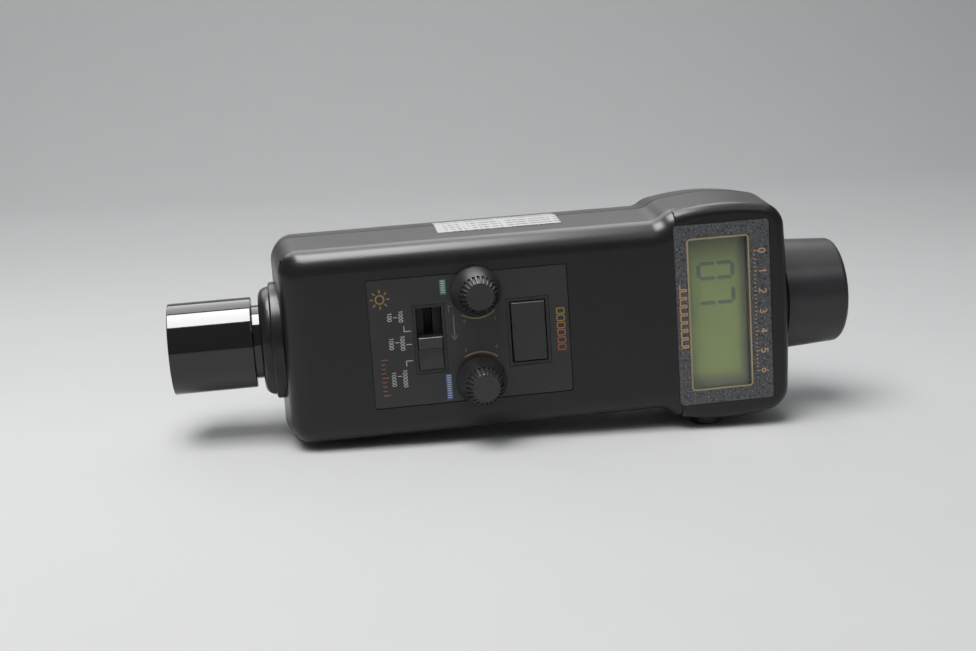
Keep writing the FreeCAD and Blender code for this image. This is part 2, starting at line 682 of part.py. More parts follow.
def control_panel():
    """Thin printed panel around the controls."""
    y0 = FRONT_Y + PANEL_SINK
    y1 = y0 + PANEL_THICK
    g = PANEL_GAP
    plate = round_plate(PANEL_X0 + g, PANEL_X1 - g, y0, y1, -PANEL_HALF + g, PANEL_HALF - g, 0.6)
    cuts = []
    for side in (1, -1):
        cuts.append(rod_y(y0 - 1, y1 + 1, 4.2, KNOB_X, side * KNOB_Z))
    b = SLOT_BEVEL
    cuts.append(box(
        SLOT_X - SLOT_W / 2 - b, SLOT_X + SLOT_W / 2 + b, y0 - 1, y1 + 1,
        SLOT_Z - SLOT_L / 2 - 0.5, SLOT_Z + SLOT_L / 2 + 0.5))
    f = MEMORY_FRAME
    cuts.append(box(
        MEMORY_X - MEMORY_W / 2 - f, MEMORY_X + MEMORY_W / 2 + f, y0 - 1, y1 + 1,
        MEMORY_Z - MEMORY_L / 2 - f, MEMORY_Z + MEMORY_L / 2 + f))
    return plate.cut(cuts)


def frame_ring(x, z, w, length, y0, y1, rim, hole_gap):
    """Thin rectangular frame round an opening."""
    outer = box(x - w / 2 - rim, x + w / 2 + rim, y0, y1, z - length / 2 - rim, z + length / 2 + rim)
    inner = box(
        x - w / 2 - hole_gap, x + w / 2 + hole_gap, y0 - 1, y1 + 1,
        z - length / 2 - hole_gap, z + length / 2 + hole_gap)
    return outer.cut(inner)


def memory_frame():
    """Frame round the memory button."""
    y1 = FRONT_Y + PANEL_SINK + PANEL_THICK
    return frame_ring(MEMORY_X, MEMORY_Z, MEMORY_W, MEMORY_L, y1 - 0.4, y1, MEMORY_FRAME - 0.1, MEMORY_GAP)


def switch_frame():
    """Frame round the range switch slot."""
    y1 = FRONT_Y + PANEL_SINK + PANEL_THICK
    return frame_ring(SLOT_X, SLOT_Z, SLOT_W, SLOT_L - 0.8, y1 - 0.4, y1, SLOT_BEVEL - 0.1, 0.0)


def display_bezel():
    """Printed frame plate round the display window."""
    g = 0.15
    plate = round_plate(
        BEZEL_X0 + g, BEZEL_X1 - g, FRONT_Y, FRONT_Y + BEZEL_THICK, -BEZEL_HALF + g, BEZEL_HALF - g,
        BEZEL_CORNER - g)
    hole = round_plate(
        OPENING_X0, OPENING_X1, FRONT_Y - 1, FRONT_Y + BEZEL_THICK + 1, -OPENING_HALF, OPENING_HALF, 0.7)
    return plate.cut(hole)


def display_window():
    """Clear pane let into the bezel, with a step behind it."""
    g = 0.05
    y0 = FRONT_Y + 0.1
    seat = FRONT_Y + BEZEL_THICK
    pane = round_plate(
        OPENING_X0 + g, OPENING_X1 - g, y0, seat + 0.8, -OPENING_HALF + g, OPENING_HALF - g, 0.65)
    step = box(
        OPENING_X0 - WINDOW_STEP, OPENING_X1 + WINDOW_STEP, seat, seat + 0.8,
        -OPENING_HALF - WINDOW_STEP, OPENING_HALF + WINDOW_STEP)
    return join([pane, step])


def lcd_glass():
    """Liquid crystal cell."""
    front = box(
        LCD_MID_X - LCD_HALF_X, LCD_MID_X + LCD_HALF_X - LCD_LEDGE, LCD_Y0, LCD_Y0 + LCD_THICK / 2,
        -LCD_HALF_Z, LCD_HALF_Z)
    rear = box(
        LCD_MID_X - LCD_HALF_X, LCD_MID_X + LCD_HALF_X, LCD_Y0 + LCD_THICK / 2, LCD_Y0 + LCD_THICK,
        -LCD_HALF_Z, LCD_HALF_Z)
    return join([front, rear])


def lcd_frame():
    """Plastic frame that holds the cell on the main board."""
    g = 0.2
    outer = box(
        LCD_MID_X - LCD_HALF_X - LCD_FRAME_SIDE, LCD_MID_X + LCD_HALF_X + LCD_FRAME_SIDE, LCD_Y0 - 0.6,
        BOARD_FRONT_Y, -LCD_HALF_Z - LCD_FRAME_END, LCD_HALF_Z + LCD_FRAME_END)
    pocket = box(
        LCD_MID_X - LCD_HALF_X - g, LCD_MID_X + LCD_HALF_X + g, LCD_Y0, BOARD_FRONT_Y + 1,
        -LCD_HALF_Z - g, LCD_HALF_Z + g)
    view = box(
        OPENING_X0 - 0.4, OPENING_X1 + 0.4, LCD_Y0 - 2, LCD_Y0 + 1, -OPENING_HALF - 0.6, OPENING_HALF + 0.6)
    return outer.cut([pocket, view])


def zebra_strips():
    """Two elastic connector strips under the cell."""
    y0 = LCD_Y0 + LCD_THICK
    strips = []
    for side in (1, -1):
        x = LCD_MID_X + side * (LCD_HALF_X - 1.5)
        strips.append(box(x - 1.0, x + 1.0, y0, BOARD_FRONT_Y, -STRIP_HALF, STRIP_HALF))
    return Part.makeCompound(strips)


def main_board():
    """Main circuit board."""
    plate = box(BOARD_X0, BOARD_X1, BOARD_FRONT_Y, BOARD_FRONT_Y + BOARD_THICK, -BOARD_HALF, BOARD_HALF)
    cuts = [rod_y(BOARD_FRONT_Y - 1, BOARD_FRONT_Y + 3, SMALL_SCREW_R + 0.1, x, z) for x, z in BOARD_SCREWS]
    cuts += [rod_y(BOARD_FRONT_Y - 1, BOARD_FRONT_Y + 3, CASE_POST_R + 0.5, x, z) for x, z in CASE_SCREWS]
    return plate.cut(cuts)


def board_chips():
    """Integrated circuits on the back of the main board."""
    y = BOARD_FRONT_Y + BOARD_THICK
    chips = []
    for x, z, a, b, h in CHIPS:
        chips.append(box(x - a / 2, x + a / 2, y, y + h, z - b / 2, z + b / 2))
    return Part.makeCompound(chips)


def crystal():
    """Clock crystal can on the main board."""
    y = BOARD_FRONT_Y + BOARD_THICK
    return round_plate(102.5, 107.5, y, y + 3.2, -5.2, 5.2, 2.3)


def pot_body(z):
    """Potentiometer body and its threaded neck."""
    top = FRONT_Y + FACE_WALL + 0.1
    body = box(KNOB_X - 5.6, KNOB_X + 5.6, top, BOARD_FRONT_Y, z - 5.2, z + 5.2)
    neck = rod_y(FRONT_Y + 0.2, top + 0.5, 3.4, KNOB_X, z)
    bore = rod_y(FRONT_Y - 1, BOARD_FRONT_Y - 1.5, SHAFT_R + SHAFT_FIT, KNOB_X, z)
    return join([body, neck]).cut(bore)


def pot_shaft(z):
    """Turning shaft of a potentiometer."""
    stem = rod_y(FRONT_Y - 6.5, BOARD_FRONT_Y - 2.0, SHAFT_R, KNOB_X, z)
    flat = box(KNOB_X + SHAFT_FLAT, KNOB_X + 5, FRONT_Y - 7, FRONT_Y - KNOB_LIFT + 0.2, z - 4, z + 4)
    return stem.cut(flat)


def knob(z):
    """Cone-shaped knob with a fluted rim round its cap."""
    base = FRONT_Y - KNOB_LIFT
    cap = FRONT_Y - KNOB_HEIGHT
    body = spin_y([
        (base, 0.0), (base, KNOB_SKIRT_R), (base - 1.3, KNOB_SKIRT_R - 0.1),
        (cap + KNOB_RIM_DEPTH, KNOB_RIM_R), (cap + 0.3, KNOB_CAP_R + 0.3), (cap, KNOB_CAP_R), (cap, 0.0)],
        KNOB_X, z)
    grooves = []
    for k in range(FLUTES):
        a = 2 * math.pi * k / FLUTES
        low_r, top_r = KNOB_RIM_R + 0.1, KNOB_CAP_R + 0.15
        p0 = Vector(KNOB_X + low_r * math.cos(a), cap + KNOB_RIM_DEPTH + 0.3, z + low_r * math.sin(a))
        p1 = Vector(KNOB_X + top_r * math.cos(a), cap - 0.4, z + top_r * math.sin(a))
        grooves.append(Part.makeCylinder(FLUTE_R, (p1 - p0).Length, p0, p1 - p0))
    body = body.cut(grooves)
    socket = rod_y(FRONT_Y - 6.6, base + 1, SHAFT_R + SHAFT_FIT, KNOB_X, z)
    flat = box(KNOB_X + SHAFT_FLAT + SHAFT_FIT, KNOB_X + 5, FRONT_Y - 7, FRONT_Y + 1, z - 4, z + 4)
    return body.cut(socket.cut(flat))


def range_switch_body():
    """Sliding switch on the main board."""
    y0 = FRONT_Y + FACE_WALL + 1.4
    body = box(SLOT_X - 3.6, SLOT_X + 3.6, y0, BOARD_FRONT_Y, SLOT_Z - 10.0, SLOT_Z + 11.5)
    z0 = THUMB_Z - RANGE_STEP - 1.5
    z1 = THUMB_Z + 2 * RANGE_STEP + 1.5
    groove = box(SLOT_X - 1.3, SLOT_X + 1.3, y0 - 1, BOARD_FRONT_Y - 1.2, z0, z1)
    return body.cut(groove)


def range_slider():
    """Thumb piece of the range switch with its shutter, carrier plate and stem."""
    face = FRONT_Y - THUMB_PROUD
    plate_y0 = FRONT_Y + FACE_WALL + 0.1
    top_z = THUMB_Z + THUMB_H / 2
    plate = box(SLOT_X - 4.4, SLOT_X + 4.4, plate_y0, plate_y0 + 1.0, THUMB_Z - 5.0, top_z)
    half = SLOT_W / 2 - 0.2
    thumb = box(SLOT_X - half, SLOT_X + half, face, plate_y0 + 0.5, THUMB_Z - THUMB_H / 2, top_z)
    edges = [e for e in thumb.Edges if all(abs(v.Point.y - face) < 1e-6 for v in e.Vertexes)]
    thumb = thumb.makeFillet(THUMB_EDGE, edges)
    shutter_y = FRONT_Y + PANEL_SINK + PANEL_THICK + SHUTTER_GAP
    shutter = box(SLOT_X - half, SLOT_X + half, shutter_y, shutter_y + SHUTTER_THICK, SHUTTER_Z, THUMB_Z)
    post = box(SLOT_X - half, SLOT_X + half, shutter_y + 0.5, plate_y0 + 0.5, THUMB_Z - 5.0, THUMB_Z)
    stem = box(SLOT_X - 1.1, SLOT_X + 1.1, plate_y0 + 0.5, BOARD_FRONT_Y - 1.4, THUMB_Z - 1.3, THUMB_Z + 1.3)
    return join([plate, thumb, shutter, post, stem])


def memory_button():
    """Rectangular push button with its stem."""
    face = FRONT_Y - MEMORY_PROUD
    cap = box(
        MEMORY_X - MEMORY_W / 2, MEMORY_X + MEMORY_W / 2, face, FRONT_Y + FACE_WALL + 0.3,
        MEMORY_Z - MEMORY_L / 2, MEMORY_Z + MEMORY_L / 2)
    edges = [e for e in cap.Edges if all(abs(v.Point.y - face) < 1e-6 for v in e.Vertexes)]
    cap = cap.makeFillet(MEMORY_EDGE, edges)
    rear = FRONT_Y + FACE_WALL
    flange = box(
        MEMORY_X - MEMORY_W / 2 - 1.0, MEMORY_X + MEMORY_W / 2 + 1.0, rear + 0.05, rear + 0.8,
        MEMORY_Z - MEMORY_L / 2 - 1.0, MEMORY_Z + MEMORY_L / 2 + 1.0)
    stem = rod_y(rear + 0.5, MEMORY_SWITCH_Y + 0.4, MEMORY_STEM_R, MEMORY_X, MEMORY_Z)
    return join([cap, flange, stem])


def memory_switch():
    """Push switch on the main board under the memory button."""
    body = box(MEMORY_X - 3, MEMORY_X + 3, MEMORY_SWITCH_Y, BOARD_FRONT_Y, MEMORY_Z - 3, MEMORY_Z + 3)
    floor_y = MEMORY_SWITCH_Y + 0.4 + MEMORY_STROKE + 0.8
    return body.cut(rod_y(MEMORY_SWITCH_Y - 1, floor_y, MEMORY_STEM_R + 0.1, MEMORY_X, MEMORY_Z))


def measure_button():
    """Round push button on the lower side of the head."""
    cap = rod_z(MEASURE_TIP_Z, MEASURE_FLANGE_Z + 0.5, MEASURE_R, MEASURE_X, MEASURE_Y)
    rim = [e for e in cap.Edges if e.BoundBox.ZMax < MEASURE_TIP_Z + 1e-6]
    cap = cap.makeFillet(0.5, rim)
    flange = rod_z(MEASURE_FLANGE_Z, MEASURE_FLANGE_Z + 1.0, MEASURE_R + 1.2, MEASURE_X, MEASURE_Y)
    tip = rod_z(MEASURE_FLANGE_Z + 0.5, MEASURE_TIP_END, MEASURE_TIP_R, MEASURE_X, MEASURE_TIP_Y)
    return join([cap, flange, tip])


def measure_switch():
    """Edge-mounted push switch on the back of the main board."""
    y0 = BOARD_FRONT_Y + BOARD_THICK
    z0 = MEASURE_TIP_END - 0.4
    body = box(MEASURE_X - 3, MEASURE_X + 3, y0, y0 + 6.0, z0, z0 + 4.5)
    depth = MEASURE_TIP_END + MEASURE_STROKE + 0.4
    return body.cut(rod_z(z0 - 1.0, depth, MEASURE_TIP_R + 0.1, MEASURE_X, MEASURE_TIP_Y))


def strobe_barrel():
    """Glossy tube round the flash lamp with its neck and inner flange."""
    body = spin_x([
        (LAMP_X0, LAMP_BORE), (LAMP_X0, LAMP_R), (LAMP_X1, LAMP_R), (LAMP_X1, NECK_R), (NECK_END_X, NECK_R),
        (NECK_END_X, NECK_FLANGE_R), (NECK_FLANGE_X1, NECK_FLANGE_R), (NECK_FLANGE_X1, NECK_BORE),
        (LAMP_FLOOR_X, NECK_BORE), (LAMP_FLOOR_X, LAMP_BORE)])
    body = body.makeChamfer(0.25, circle_edges(body, LAMP_X0, LAMP_R))
    return body.makeFillet(0.5, circle_edges(body, LAMP_X1, LAMP_R))


def lamp_reflector():
    """Thin bright bowl behind the lamp window."""
    outer, inner = [], []
    for k in range(13):
        r = mix(REFLECTOR_HOLE_R, REFLECTOR_MOUTH_R, k / 12)
        x = REFLECTOR_X0 + REFLECTOR_DEPTH * (1.0 - (r / REFLECTOR_MOUTH_R) ** 2)
        inner.append(Vector(x, 0, r))
        outer.append(Vector(x + REFLECTOR_THICK, 0, r))
    a = Part.BSplineCurve()
    a.interpolate(inner)
    b = Part.BSplineCurve()
    b.interpolate(outer)
    wire = Part.Wire([
        a.toShape(), Part.makeLine(inner[-1], outer[-1]), b.toShape(), Part.makeLine(outer[0], inner[0])])
    bowl = Part.Face(wire).revolve(Vector(0, 0, 0), Vector(1, 0, 0), 360)
    rim_r = REFLECTOR_MOUTH_R - 0.3
    x0, x1 = REFLECTOR_X0 - 0.1, REFLECTOR_X0 + 0.7
    rim = spin_x([(x0, rim_r), (x0, LAMP_BORE - 0.05), (x1, LAMP_BORE - 0.05), (x1, rim_r)])
    return join([bowl, rim])


def lamp_socket():
    """Ceramic base that carries the lamp."""
    base = rod_x(SOCKET_STEP_X, LAMP_FLOOR_X - 0.1, SOCKET_R)
    nose = rod_x(SOCKET_X0, SOCKET_STEP_X, SOCKET_NOSE_R)
    x0, x1 = SOCKET_X0 - 0.4, ELECTRODE_END_X + 0.1
    bores = [rod_x(x0, x1, TUBE_R + 0.05, 0.0, side * TUBE_HALF) for side in (1, -1)]
    return join([base, nose]).cut(bores)


def xenon_tube():
    """U-shaped flash tube."""
    bend = Part.makeTorus(TUBE_HALF, TUBE_R, Vector(TUBE_BEND_X, 0, 0), Vector(0, 1, 0))
    bend = bend.common(box(LAMP_X0, TUBE_BEND_X, -5, 5, -8, 8))
    legs = [rod_x(TUBE_BEND_X, TUBE_END_X, TUBE_R, 0.0, side * TUBE_HALF) for side in (1, -1)]
    return join([bend] + legs)


def lamp_electrodes():
    """Metal end caps of the flash tube inside the socket."""
    return Part.makeCompound([
        rod_x(TUBE_END_X, ELECTRODE_END_X, TUBE_R, 0.0, side * TUBE_HALF) for side in (1, -1)])


def trigger_band():
    """Trigger electrode bands round the legs of the flash tube."""
    bands = []
    for side in (1, -1):
        band = rod_x(-18.4, -17.4, TUBE_R + 0.3, 0.0, side * TUBE_HALF)
        bands.append(band.cut(rod_x(-19, -17, TUBE_R, 0.0, side * TUBE_HALF)))
    return Part.makeCompound(bands)


def strobe_lens():
    """Clear window of the flash lamp."""
    return rod_x(WINDOW_X0, WINDOW_X1, LAMP_BORE - 0.1)


def strobe_lens_ring():
    """Ring that keeps the window in the barrel."""
    outer_r = LAMP_BORE - 0.05
    return spin_x([(RING_X0, 10.2), (RING_X0, outer_r), (WINDOW_X0, outer_r), (WINDOW_X0, 10.0)])


def lamp_leads():
    """Three straight insulated leads from the socket to the flash board."""
    x0, y = LAMP_FLOOR_X - 0.1, STROBE_BOARD_Y - LEAD_R
    return Part.makeCompound([rod_x(x0, LEAD_END_X, LEAD_R, y, z) for z in (-TUBE_HALF, 0.0, TUBE_HALF)])


def strobe_board():
    """Flash circuit board."""
    y0, y1 = STROBE_BOARD_Y, STROBE_BOARD_Y + BOARD_THICK
    plate = box(STROBE_X0, STROBE_X1, y0, y1, -STROBE_HALF, STROBE_HALF)
    tabs = [box(24.5, STROBE_X1, y0, y1, s * 20 - 3, s * 20 + 3) for s in (1, -1)]
    holes = [rod_y(y0 - 1, y1 + 1, SMALL_SCREW_R + 0.1, x, z) for x, z in STROBE_SCREWS]
    return join([plate] + tabs).cut(holes)


def flash_capacitor():
    """Flash capacitor can lying on the flash board."""
    y = STROBE_BOARD_Y + BOARD_THICK + CAPACITOR_R
    can = rod_z(-13.0, 11.0, CAPACITOR_R, CAPACITOR_X, y)
    groove = Part.makeTorus(CAPACITOR_R + 0.3, 0.7, Vector(CAPACITOR_X, y, -10.5), Vector(0, 0, 1))
    return can.cut(groove)


def inverter_core():
    """Ferrite transformer core on the front of the flash board."""
    y1 = STROBE_BOARD_Y
    core = box(CORE_X - 6.5, CORE_X + 6.5, y1 - CORE_H, y1, CORE_Z - 6.0, CORE_Z + 6.0)
    window = box(CORE_X - 7.5, CORE_X + 7.5, y1 - CORE_H + 2.0, y1 - 2.0, CORE_Z - 3.5, CORE_Z + 3.5)
    return core.cut(window)


def inverter_winding():
    """Winding of the transformer."""
    y0, y1 = STROBE_BOARD_Y - CORE_H + 2.0, STROBE_BOARD_Y - 2.0
    return round_plate(CORE_X - 5.7, CORE_X + 5.7, y0, y1, CORE_Z - 3.5, CORE_Z + 3.5, 1.5)


def trigger_coil():
    """Trigger coil on the front of the flash board."""
    y1 = STROBE_BOARD_Y
    base = rod_y(y1 - 1.2, y1, COIL_R + 0.8, COIL_X, COIL_Z)
    coil = rod_y(y1 - 8.0, y1 - 1.2, COIL_R, COIL_X, COIL_Z)
    head = rod_y(y1 - 9.0, y1 - 8.0, COIL_R + 0.8, COIL_X, COIL_Z)
    return join([base, coil, head])


def photo_barrel():
    """Tapered tube of the tachometer optics with spigot and inner flange."""
    body = spin_x([
        (PHOTO_X1, PHOTO_BORE), (PHOTO_X1, PHOTO_R1), (PHOTO_X0, PHOTO_R0), (PHOTO_X0, SPIGOT_R),
        (PHOTO_FLANGE_X1, SPIGOT_R), (PHOTO_FLANGE_X1, PHOTO_FLANGE_R), (PHOTO_FLANGE_X0, PHOTO_FLANGE_R),
        (PHOTO_FLANGE_X0, PHOTO_BORE - 1.2), (LENS_X0, PHOTO_BORE - 1.2), (LENS_X0, PHOTO_BORE)])
    body = body.makeFillet(PHOTO_RIM - 0.4, circle_edges(body, PHOTO_X1, PHOTO_R1))
    return body.cut(box(PHOTO_FLANGE_X0 - 1, PHOTO_FLANGE_X1, BACK_Y - WALL - 1.3, 30, -20, 20))


def photo_lens():
    """Plano-convex lens, curved side outwards."""
    disc = rod_x(LENS_X0, LENS_X1, PHOTO_BORE - 0.1)
    ball = Part.makeSphere(LENS_BALL_R, Vector(LENS_CROWN_X - LENS_BALL_R, 0, 0))
    dome = rod_x(LENS_X1 - 0.1, 160.0, PHOTO_BORE - 1.3).common(ball)
    return join([disc, dome])


def photo_lens_ring():
    """Ring that keeps the lens in the barrel."""
    inner_r, outer_r = PHOTO_BORE - 1.2, PHOTO_BORE - 0.05
    return spin_x([(LENS_X1, inner_r), (LENS_X1, outer_r), (LENS_RING_X1, outer_r), (LENS_RING_X1, inner_r)])


def optics_holder():
    """Plate that carries the light source and the detector."""
    x0, x1 = PHOTO_FLANGE_X0 - HOLDER_THICK, PHOTO_FLANGE_X0
    plate = rod_x(x0, x1, HOLDER_R)
    lugs = [box(x0, x1, -1.6, 1.6, s * 15.5 - 2.0, s * 15.5 + 2.0) for s in (1, -1)]
    holes = [rod_x(x0 - 0.5, x1 + 0.7, LED_R + 0.1, 0.0, s * LED_HALF) for s in (1, -1)]
    return join([plate] + lugs).cut(holes)


def photo_led(z):
    """Round five millimetre component looking along +x."""
    body = rod_x(LED_X0 + 1.0, LED_TIP_X, LED_R, 0.0, z)
    tip = Part.makeSphere(LED_R, Vector(LED_TIP_X, 0, z))
    flange = rod_x(LED_X0, LED_X0 + 1.0, LED_FLANGE_R, 0.0, z)
    return join([body, tip, flange])


def optics_baffle():
    """Wall between light source and detector."""
    return box(PHOTO_FLANGE_X0, BAFFLE_X1, -BAFFLE_HALF, BAFFLE_HALF, -0.6, 0.6)


def battery_cells():
    """Four penlight cells across the grip, alternating in direction."""
    inside = BAY_HALF - CONTACT_THICK
    cells = []
    for k in range(CELL_COUNT):
        x = CELL_X0 + CELL_PITCH * k
        side = 1 if k % 2 == 0 else -1
        tip = side * inside
        shoulder = tip - side * 1.2
        end = tip - side * CELL_L
        can = rod_z(min(shoulder, end), max(shoulder, end), CELL_R, x, CELL_Y)
        rims = [e for e in can.Edges if isinstance(e.Curve, Part.Circle)]
        can = can.makeFillet(0.5, rims)
        root = shoulder - side * 0.1
        nub = rod_z(min(root, tip), max(root, tip), 2.7, x, CELL_Y)
        cells.append(join([can, nub]))
    return Part.makeCompound(cells)


def battery_springs():
    """Conical springs on the negative ends of the cells."""
    inside = BAY_HALF - CONTACT_THICK
    springs = []
    for k in range(CELL_COUNT):
        x = CELL_X0 + CELL_PITCH * k
        side = -1 if k % 2 == 0 else 1
        coils = []
        for turn in range(4):
            centre = Vector(x, CELL_Y, side * (inside - 0.35 - 0.66 * turn))
            coils.append(Part.makeTorus(4.6 - 0.8 * turn, SPRING_WIRE_R, centre, Vector(0, 0, 1)))
        root = Vector(x + 4.7, CELL_Y, side * (inside - 0.3))
        coils.append(Part.makeCylinder(SPRING_WIRE_R, 3.1, root, Vector(-2.4, 0, -side * 2.0)))
        springs.append(join(coils))
    return Part.makeCompound(springs)


def battery_contacts():
    """Sheet contacts on both ends of the battery bay."""
    inside = BAY_HALF - CONTACT_THICK
    plates = []
    spans = {1: ((0, 0), (1, 2), (3, 3)), -1: ((0, 1), (2, 3))}
    for side, groups in spans.items():
        for a, b in groups:
            x0 = CELL_X0 + CELL_PITCH * a - 5.5
            x1 = CELL_X0 + CELL_PITCH * b + 5.5
            z0, z1 = side * inside, side * BAY_HALF
            plates.append(box(x0, x1, CELL_Y - 4.4, CELL_Y + 4.8, min(z0, z1), max(z0, z1)))
    return Part.makeCompound(plates)


def side_label():
    """Paper label over the seam on the upper side."""
    slope = (GRIP_HALF - GRIP_HALF_FRONT) / -FRONT_Y
    lean = (GRIP_HALF - GRIP_HALF_BACK) / BACK_Y
    y0, y1 = LABEL_Y0, LABEL_Y1
    t = LABEL_THICK

    def wall(y):
        return GRIP_HALF + (slope if y < 0 else -lean) * y

    section = ((y0, 0.0), (0.0, 0.0), (y1, 0.0), (y1, t), (0.0, t), (y0, t))
    pts = [Vector(LABEL_X0, y, wall(y) + d) for y, d in section]
    face = Part.Face(Part.makePolygon(pts + [pts[0]]))
    return face.extrude(Vector(LABEL_X1 - LABEL_X0, 0, 0))


NODES = {
    "front_shell": front_shell,
    "back_shell": back_shell,
    "battery_cover": battery_cover,
    "case_screws": case_screws,
    "cover_screws": cover_screws,
    "board_screws": board_screws,
    "strobe_board_screws": strobe_board_screws,
    "control_panel": control_panel,
    "memory_frame": memory_frame,
    "switch_frame": switch_frame,
    "display_bezel": display_bezel,
    "display_window": display_window,
    "lcd_glass": lcd_glass,
    "lcd_frame": lcd_frame,
    "zebra_strips": zebra_strips,
    "main_board": main_board,
    "board_chips": board_chips,
    "crystal": crystal,
    "fine_pot": lambda: pot_body(KNOB_Z),
    "fine_shaft": lambda: pot_shaft(KNOB_Z),
    "fine_knob": lambda: knob(KNOB_Z),
    "coarse_pot": lambda: pot_body(-KNOB_Z),
    "coarse_shaft": lambda: pot_shaft(-KNOB_Z),
    "coarse_knob": lambda: knob(-KNOB_Z),
    "range_switch_body": range_switch_body,
    "range_slider": range_slider,
    "memory_button": memory_button,
    "memory_switch": memory_switch,
    "measure_button": measure_button,
    "measure_switch": measure_switch,
    "strobe_barrel": strobe_barrel,
    "lamp_reflector": lamp_reflector,
    "lamp_socket": lamp_socket,
    "xenon_tube": xenon_tube,
    "lamp_electrodes": lamp_electrodes,
    "trigger_band": trigger_band,
    "strobe_lens": strobe_lens,
    "strobe_lens_ring": strobe_lens_ring,
    "lamp_leads": lamp_leads,
    "strobe_board": strobe_board,
    "flash_capacitor": flash_capacitor,
    "inverter_core": inverter_core,
    "inverter_winding": inverter_winding,
    "trigger_coil": trigger_coil,
    "photo_barrel": photo_barrel,
    "photo_lens": photo_lens,
    "photo_lens_ring": photo_lens_ring,
    "optics_holder": optics_holder,
    "light_source": lambda: photo_led(LED_HALF),
    "light_detector": lambda: photo_led(-LED_HALF),
    "optics_baffle": optics_baffle,
    "battery_cells": battery_cells,
    "battery_springs": battery_springs,
    "battery_contacts": battery_contacts,
    "side_label": side_label,
}

# The frame of the finished object: origin at the middle of the bottom of the
# box round it. The barrels set the length, the knob caps and the back face
# set the thickness, the measuring button and the head set the height.
SHIFT = Vector(
    -(LAMP_X0 + PHOTO_X1) / 2,
    -(FRONT_Y - KNOB_HEIGHT + BACK_Y) / 2,
    -MEASURE_TIP_Z,
)


def main():
    """Write one STEP file for each node."""
    os.makedirs("parts", exist_ok=True)
    for name, make in NODES.items():
        shape = make()
        shape.translate(SHIFT)
        shape.exportStep("parts/" + name + ".step")
        b = shape.BoundBox
        print("%-22s solids %d valid %s vol %9.1f  x %7.2f %7.2f  y %7.2f %7.2f  z %7.2f %7.2f" % (
            name, len(shape.Solids), shape.isValid(), shape.Volume,
            b.XMin, b.XMax, b.YMin, b.YMax, b.ZMin, b.ZMax))


main()
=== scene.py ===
"""Looks of a hand-held photo tachometer and xenon stroboscope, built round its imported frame.

Lengths are in metres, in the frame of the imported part: +X runs from the flash barrel to the
photo barrel, +Y from the control face to the back, and +Z up, across the width of the case.
"""

import logging
import math
from dataclasses import dataclass, field
from enum import Enum
from typing import Sequence

import bpy
import numpy as np
from mathutils import Matrix, Vector


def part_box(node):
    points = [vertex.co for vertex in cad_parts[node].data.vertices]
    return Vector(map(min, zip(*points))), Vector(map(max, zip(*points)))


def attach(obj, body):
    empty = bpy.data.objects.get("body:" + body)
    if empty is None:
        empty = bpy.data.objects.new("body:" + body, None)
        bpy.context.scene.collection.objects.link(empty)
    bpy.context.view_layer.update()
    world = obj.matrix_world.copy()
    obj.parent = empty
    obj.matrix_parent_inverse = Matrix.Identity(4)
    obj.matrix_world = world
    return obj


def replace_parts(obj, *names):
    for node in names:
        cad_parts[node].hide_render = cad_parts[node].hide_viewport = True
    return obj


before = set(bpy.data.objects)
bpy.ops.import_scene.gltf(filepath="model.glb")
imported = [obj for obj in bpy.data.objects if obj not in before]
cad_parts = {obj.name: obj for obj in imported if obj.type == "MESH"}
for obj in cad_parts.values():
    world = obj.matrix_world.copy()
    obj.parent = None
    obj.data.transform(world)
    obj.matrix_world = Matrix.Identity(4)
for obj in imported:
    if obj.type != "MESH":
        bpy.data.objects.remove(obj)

LOG = logging.getLogger("stroboscope")
MM = 0.001
CASE = "case"
Pair = tuple[float, float]
Path = tuple[Pair, ...]
Color = tuple[float, float, float]
Area = tuple[float, float, float, float]
Points = np.ndarray
Socket = bpy.types.NodeSocket
Material = bpy.types.Material
MADE: dict[str, Material] = {}

# Stroke width and pitch of a numeral, as shares of its height.
NUMERAL_WEIGHT = 0.17
NUMERAL_PITCH = 0.78

# Least cosine of half a bend's turn; a line of ink isn't widened further at a sharper bend.
SHARPEST_BEND = 0.35


class Reach(Enum):
    """What a lamp shines on."""

    GLOSS = "reflections only"
    MATT = "matt light only"


class Sign(Enum):
    """Signs beside the knobs."""

    PLUS = "plus"
    MINUS = "minus"


class Bar(Enum):
    """Bars of a seven-segment digit, by their two ends in a box 0.54 wide and 1 high."""

    TOP = ((0.05, 0.95), (0.49, 0.95))
    UPPER_RIGHT = ((0.49, 0.95), (0.49, 0.5))
    LOWER_RIGHT = ((0.49, 0.5), (0.49, 0.05))
    FOOT = ((0.49, 0.05), (0.05, 0.05))
    LOWER_LEFT = ((0.05, 0.05), (0.05, 0.5))
    UPPER_LEFT = ((0.05, 0.5), (0.05, 0.95))


DIGIT_BARS: dict[str, tuple[Bar, ...]] = {
    "0": tuple(Bar),
    "7": (Bar.TOP, Bar.UPPER_RIGHT, Bar.LOWER_RIGHT),
}


def tone(red: float, green: float, blue: float) -> Color:
    """Linear colour of a display colour given from 0 to 255, by the sRGB curve."""
    parts = [c / 255 for c in (red, green, blue)]
    return tuple(p / 12.92 if p <= 0.04045 else ((p + 0.055) / 1.055) ** 2.4 for p in parts)


